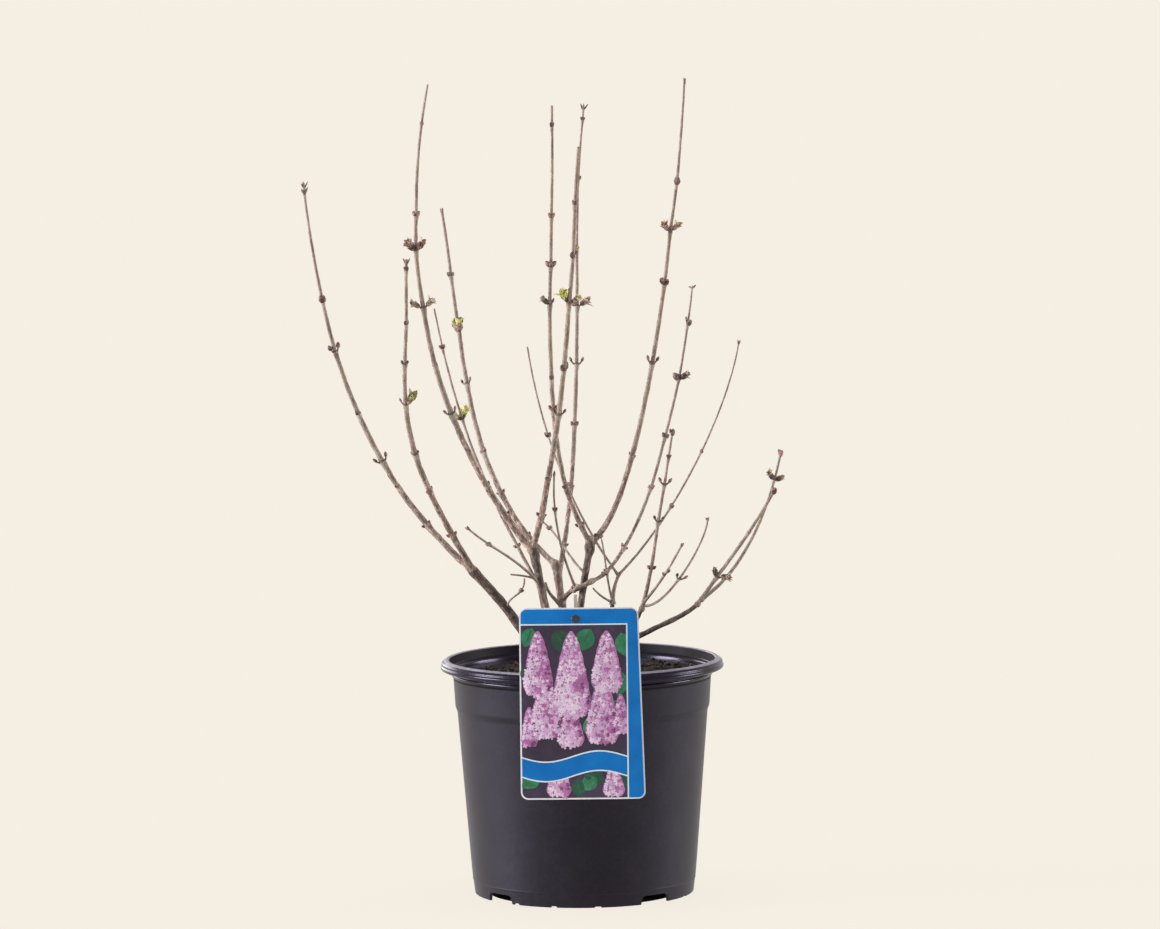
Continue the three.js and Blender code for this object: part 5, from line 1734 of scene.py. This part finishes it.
def set_socket(tree, socket, value):
    """Links a shader node's input to another node's output, or sets it to a value."""
    if isinstance(value, bpy.types.NodeSocket):
        tree.links.new(value, socket)
    else:
        socket.default_value = value


def wire(tree, made, values):
    """Sets or links a shader node's inputs, whose names here have _ for a space."""
    for name, value in values.items():
        set_socket(tree, made.inputs[name.replace("_", " ")], value)


def node(tree, kind, **inputs):
    made = tree.nodes.new(f"ShaderNode{kind}")
    wire(tree, made, inputs)
    return made


def math_node(tree, operation, *values):
    made = tree.nodes.new("ShaderNodeMath")
    made.operation = operation
    for socket, value in zip(made.inputs, values):
        set_socket(tree, socket, value)
    return made.outputs[0]


def material(name, dark, middle, pale, grain, rough, bump, stretch=(1, 1, 1), **shader_values):
    """A surface whose colour, gloss and fine relief vary with a grain, in cycles a millimetre."""
    made = bpy.data.materials.new(name)
    made.use_nodes = True
    tree = made.node_tree
    coords = node(tree, "TexCoord").outputs["Object"]
    place = node(tree, "Mapping", Vector=coords, Scale=stretch).outputs["Vector"]
    broad = node(tree, "TexNoise", Vector=place, Scale=grain / BROADER / MM, Detail=3).outputs["Fac"]
    fine = node(tree, "TexNoise", Vector=place, Scale=grain / MM, Detail=5).outputs["Fac"]
    both = math_node(tree, "MULTIPLY", math_node(tree, "ADD", broad, fine), 0.5)
    ramp = node(tree, "ValToRGB", Fac=both)
    for element, position, colour in zip(ramp.color_ramp.elements, RAMP, (dark, pale)):
        element.position = position
        element.color = paint(*colour)
    ramp.color_ramp.elements.new(0.5).color = paint(*middle)
    gloss = node(tree, "MapRange", Value=fine, To_Min=rough[0], To_Max=rough[1])
    relief = node(tree, "Bump", Strength=RELIEF, Distance=bump * MM, Height=fine)
    look = {"Base_Color": ramp.outputs["Color"], "Roughness": gloss.outputs["Result"],
            "Normal": relief.outputs["Normal"], **shader_values}
    wire(tree, tree.nodes["Principled BSDF"], look)
    return made


def wood(name, dark, middle, pale, grain=0.9, bump=0.25):
    """Bark or a twig's skin, whose grain is drawn out along the limb's height."""
    return material(name, dark, middle, pale, grain, WOOD["rough"], bump, WOOD["stretch"])


def pot_plastic(name, paints, rough, bump, level, **shader_values):
    """The pot's black plastic, whose reflections are of this level."""
    return material(name, *paints, POT_GRAIN, rough, bump, Specular_IOR_Level=level, **shader_values)


def pot_materials():
    bluish = {"Specular_Tint": paint(232, 226, 255)}
    silky = {"Sheen_Weight": 0.1, "Sheen_Roughness": 0.25}
    wall = (22, 19, 26), (27, 24, 31), (33, 30, 38)
    lip = (18, 15, 25), (23, 20, 31), (29, 26, 38)
    # The crest's pale paint is a painted highlight.
    crest = (112, 107, 116), (126, 121, 131), (142, 137, 148)
    # The inside's darker paint is painted shade.
    inside = (15, 12, 15), (20, 16, 19), (30, 25, 29)
    return [
        pot_plastic("black_plastic", wall, (0.4, 0.5), 0.008, 0.27, **bluish, **silky),
        pot_plastic("black_lip", lip, (0.19, 0.26), 0.003, 0.22, **bluish),
        pot_plastic("crest_painted_highlight", crest, (0.3, 0.38), 0.004, 0.4, **bluish),
        pot_plastic("inner_plastic_painted_shade", inside, (0.5, 0.6), 0.02, 0.08),
    ]


def print_materials():
    """The inks of the label's print, in the order of their slots."""
    inks = [material(*row, *INK_GLOSS) for row in INKS]
    blue = (0, 104, 184), (0, 118, 200), (8, 130, 210)
    white = (206, 224, 240), (220, 234, 246), (232, 242, 250)
    inks.insert(BLUE, material("print_blue", *blue, 0.06, *LABEL_GLOSS, Specular_IOR_Level=0.2))
    inks.insert(WHITE, material("print_white", *white, 0.1, *LABEL_GLOSS))
    return inks


def floor_materials():
    """The paper round the pot, which light comes through, and the dark paper under it."""
    glow = {"Emission_Color": paint(246, 239, 228), "Emission_Strength": FLOOR_GLOW}
    return [
        material("paper", (54, 53, 50), (55, 54, 51), (56, 55, 52), *PAPER, Specular_IOR_Level=0, **glow),
        material("covered_paper", (108, 105, 100), (109, 106, 101), (110, 107, 102), *PAPER),
    ]


def make_materials():
    """The materials of each piece, or each group of pieces, in the order of their slots."""
    white = (226, 230, 236), (236, 239, 244), (244, 246, 250)
    return {
        "pot": pot_materials(),
        "soil": material("peat", (14, 10, 9), (29, 20, 18), (50, 35, 31), 0.5, (0.85, 1), 0.5),
        "crumbs": [material(*row) for row in CRUMB_PAINTS],
        "bark": [wood(*row) for row in BARK_PAINTS],
        "twig": [wood(*row) for row in TWIG_PAINTS],
        "bud": [material(*row, *BUD_SKIN) for row in BUD_PAINTS],
        "leaf": [material(*row, *LEAF_SKIN) for row in LEAF_PAINTS],
        "plate": material("label_plastic", *white, 0.1, *LABEL_GLOSS),
        "print": print_materials(),
        "stake": [material(*row, *STAKE_SKIN) for row in STAKE_PAINTS],
        "floor": floor_materials(),
    }


# ---------------------------------------------------------------- floor, light and camera
FLOOR_REACH = 300  # in metres
FLOOR_RINGS = 4  # outside the part under the pot
FLOOR_SEGMENTS = 64
FLOOR_GLOW = 0.938  # the light that comes through the pale floor, as on a light table
UNDER_POT = 64  # radius of the part of the floor that doesn't glow
WHITE_LIGHT = (1, 1, 1)
COOL_LIGHT = (0.96, 0.93, 1)
LIGHTS = [  # soft suns: azimuth from the front, elevation and spread in degrees, strength, colour
    ("left_window", -84, 6, 28, 6.2, COOL_LIGHT),
    ("right_window", 98, 7, 26, 2.6, COOL_LIGHT),
    ("overhead", 180, 82, 32, 1.4, WHITE_LIGHT),
    ("left_edge", -146, 5, 38, 1.4, COOL_LIGHT),
    ("front_fill", -10, 28, 150, 0.55, WHITE_LIGHT),
]
# The room's light by its direction: how much of it lies along the axis where the light starts to change, and
# where it has changed, and its strength before and after.
SKY = {"Y": (-0.7, 0.5, 0.24, 0.8), "Z": (0.15, 0.85, 1, 0.5)}


def build_floor(papers):
    """A wide disc, whose middle is a face of its own."""
    radii = [UNDER_POT, *np.geomspace(1, FLOOR_REACH, FLOOR_RINGS) / MM]
    rings = np.array([polar(radius, circle(FLOOR_SEGMENTS), 0) for radius in radii])
    faces = grid_faces(len(radii), FLOOR_SEGMENTS, wrap=True)
    shape = Shape()
    shape.add(rings.reshape(-1, 3), [*faces, range(FLOOR_SEGMENTS)], slots=[0] * len(faces) + [1])
    floor = placed("floor", shape.mesh("floor"))
    for one in papers:
        floor.data.materials.append(one)


def add_lights():
    for name, azimuth, elevation, spread, strength, colour in LIGHTS:
        lamp = bpy.data.lights.new(name, "SUN")
        lamp.angle = math.radians(spread)
        lamp.energy = strength
        lamp.color = colour
        turn, rise = math.radians(azimuth), math.radians(elevation)
        level = Vector((math.sin(turn), -math.cos(turn), 0)) * math.cos(rise)
        holder = placed(name, lamp)
        holder.rotation_mode = "QUATERNION"
        holder.rotation_quaternion = (level + Vector((0, 0, math.sin(rise)))).to_track_quat("Z", "Y")


def add_sky():
    """A pale room, brighter behind the plant than in front of it, and dimmer overhead."""
    world = bpy.data.worlds.new("room")
    world.use_nodes = True
    tree = world.node_tree
    direction = node(tree, "SeparateXYZ", Vector=node(tree, "TexCoord").outputs["Generated"])
    strengths = []
    for axis, (start, end, first, last) in SKY.items():
        fade = node(tree, "MapRange", Value=direction.outputs[axis], From_Min=start, From_Max=end,
                    To_Min=first, To_Max=last)
        fade.interpolation_type = "SMOOTHSTEP"
        strengths.append(fade.outputs["Result"])
    light = math_node(tree, "MULTIPLY", *strengths)
    wire(tree, tree.nodes["Background"], {"Color": light, "Strength": 1})
    bpy.context.scene.world = world


def add_camera():
    data = bpy.data.cameras.new("camera")
    data.sensor_width = CAMERA["sensor"]
    data.lens = CAMERA["lens"]
    data.clip_end = 2 * FLOOR_REACH
    camera = placed("camera", data)
    tilt = Matrix.Rotation(math.radians(90 - CAMERA["pitch"]), 4, "X")
    roll = Matrix.Rotation(math.radians(CAMERA["roll"]), 4, "Z")
    camera.matrix_world = Matrix.Translation(Vector(CAMERA["place"]) * MM) @ tilt @ roll
    bpy.context.scene.camera = camera


# ---------------------------------------------------------------- the whole part
add_camera()
add_sky()
add_lights()
bpy.context.scene.view_settings.view_transform = "Standard"

materials = make_materials()
build_floor(materials["floor"])
grown = grow()
build_bark(grown, materials["bark"])
build_twigs(grown, materials)
build_pot(materials["pot"])
build_soil(materials["soil"])
build_crumbs(materials["crumbs"])
build_label(materials["plate"])
build_print(materials["print"])
build_stake(materials["stake"])
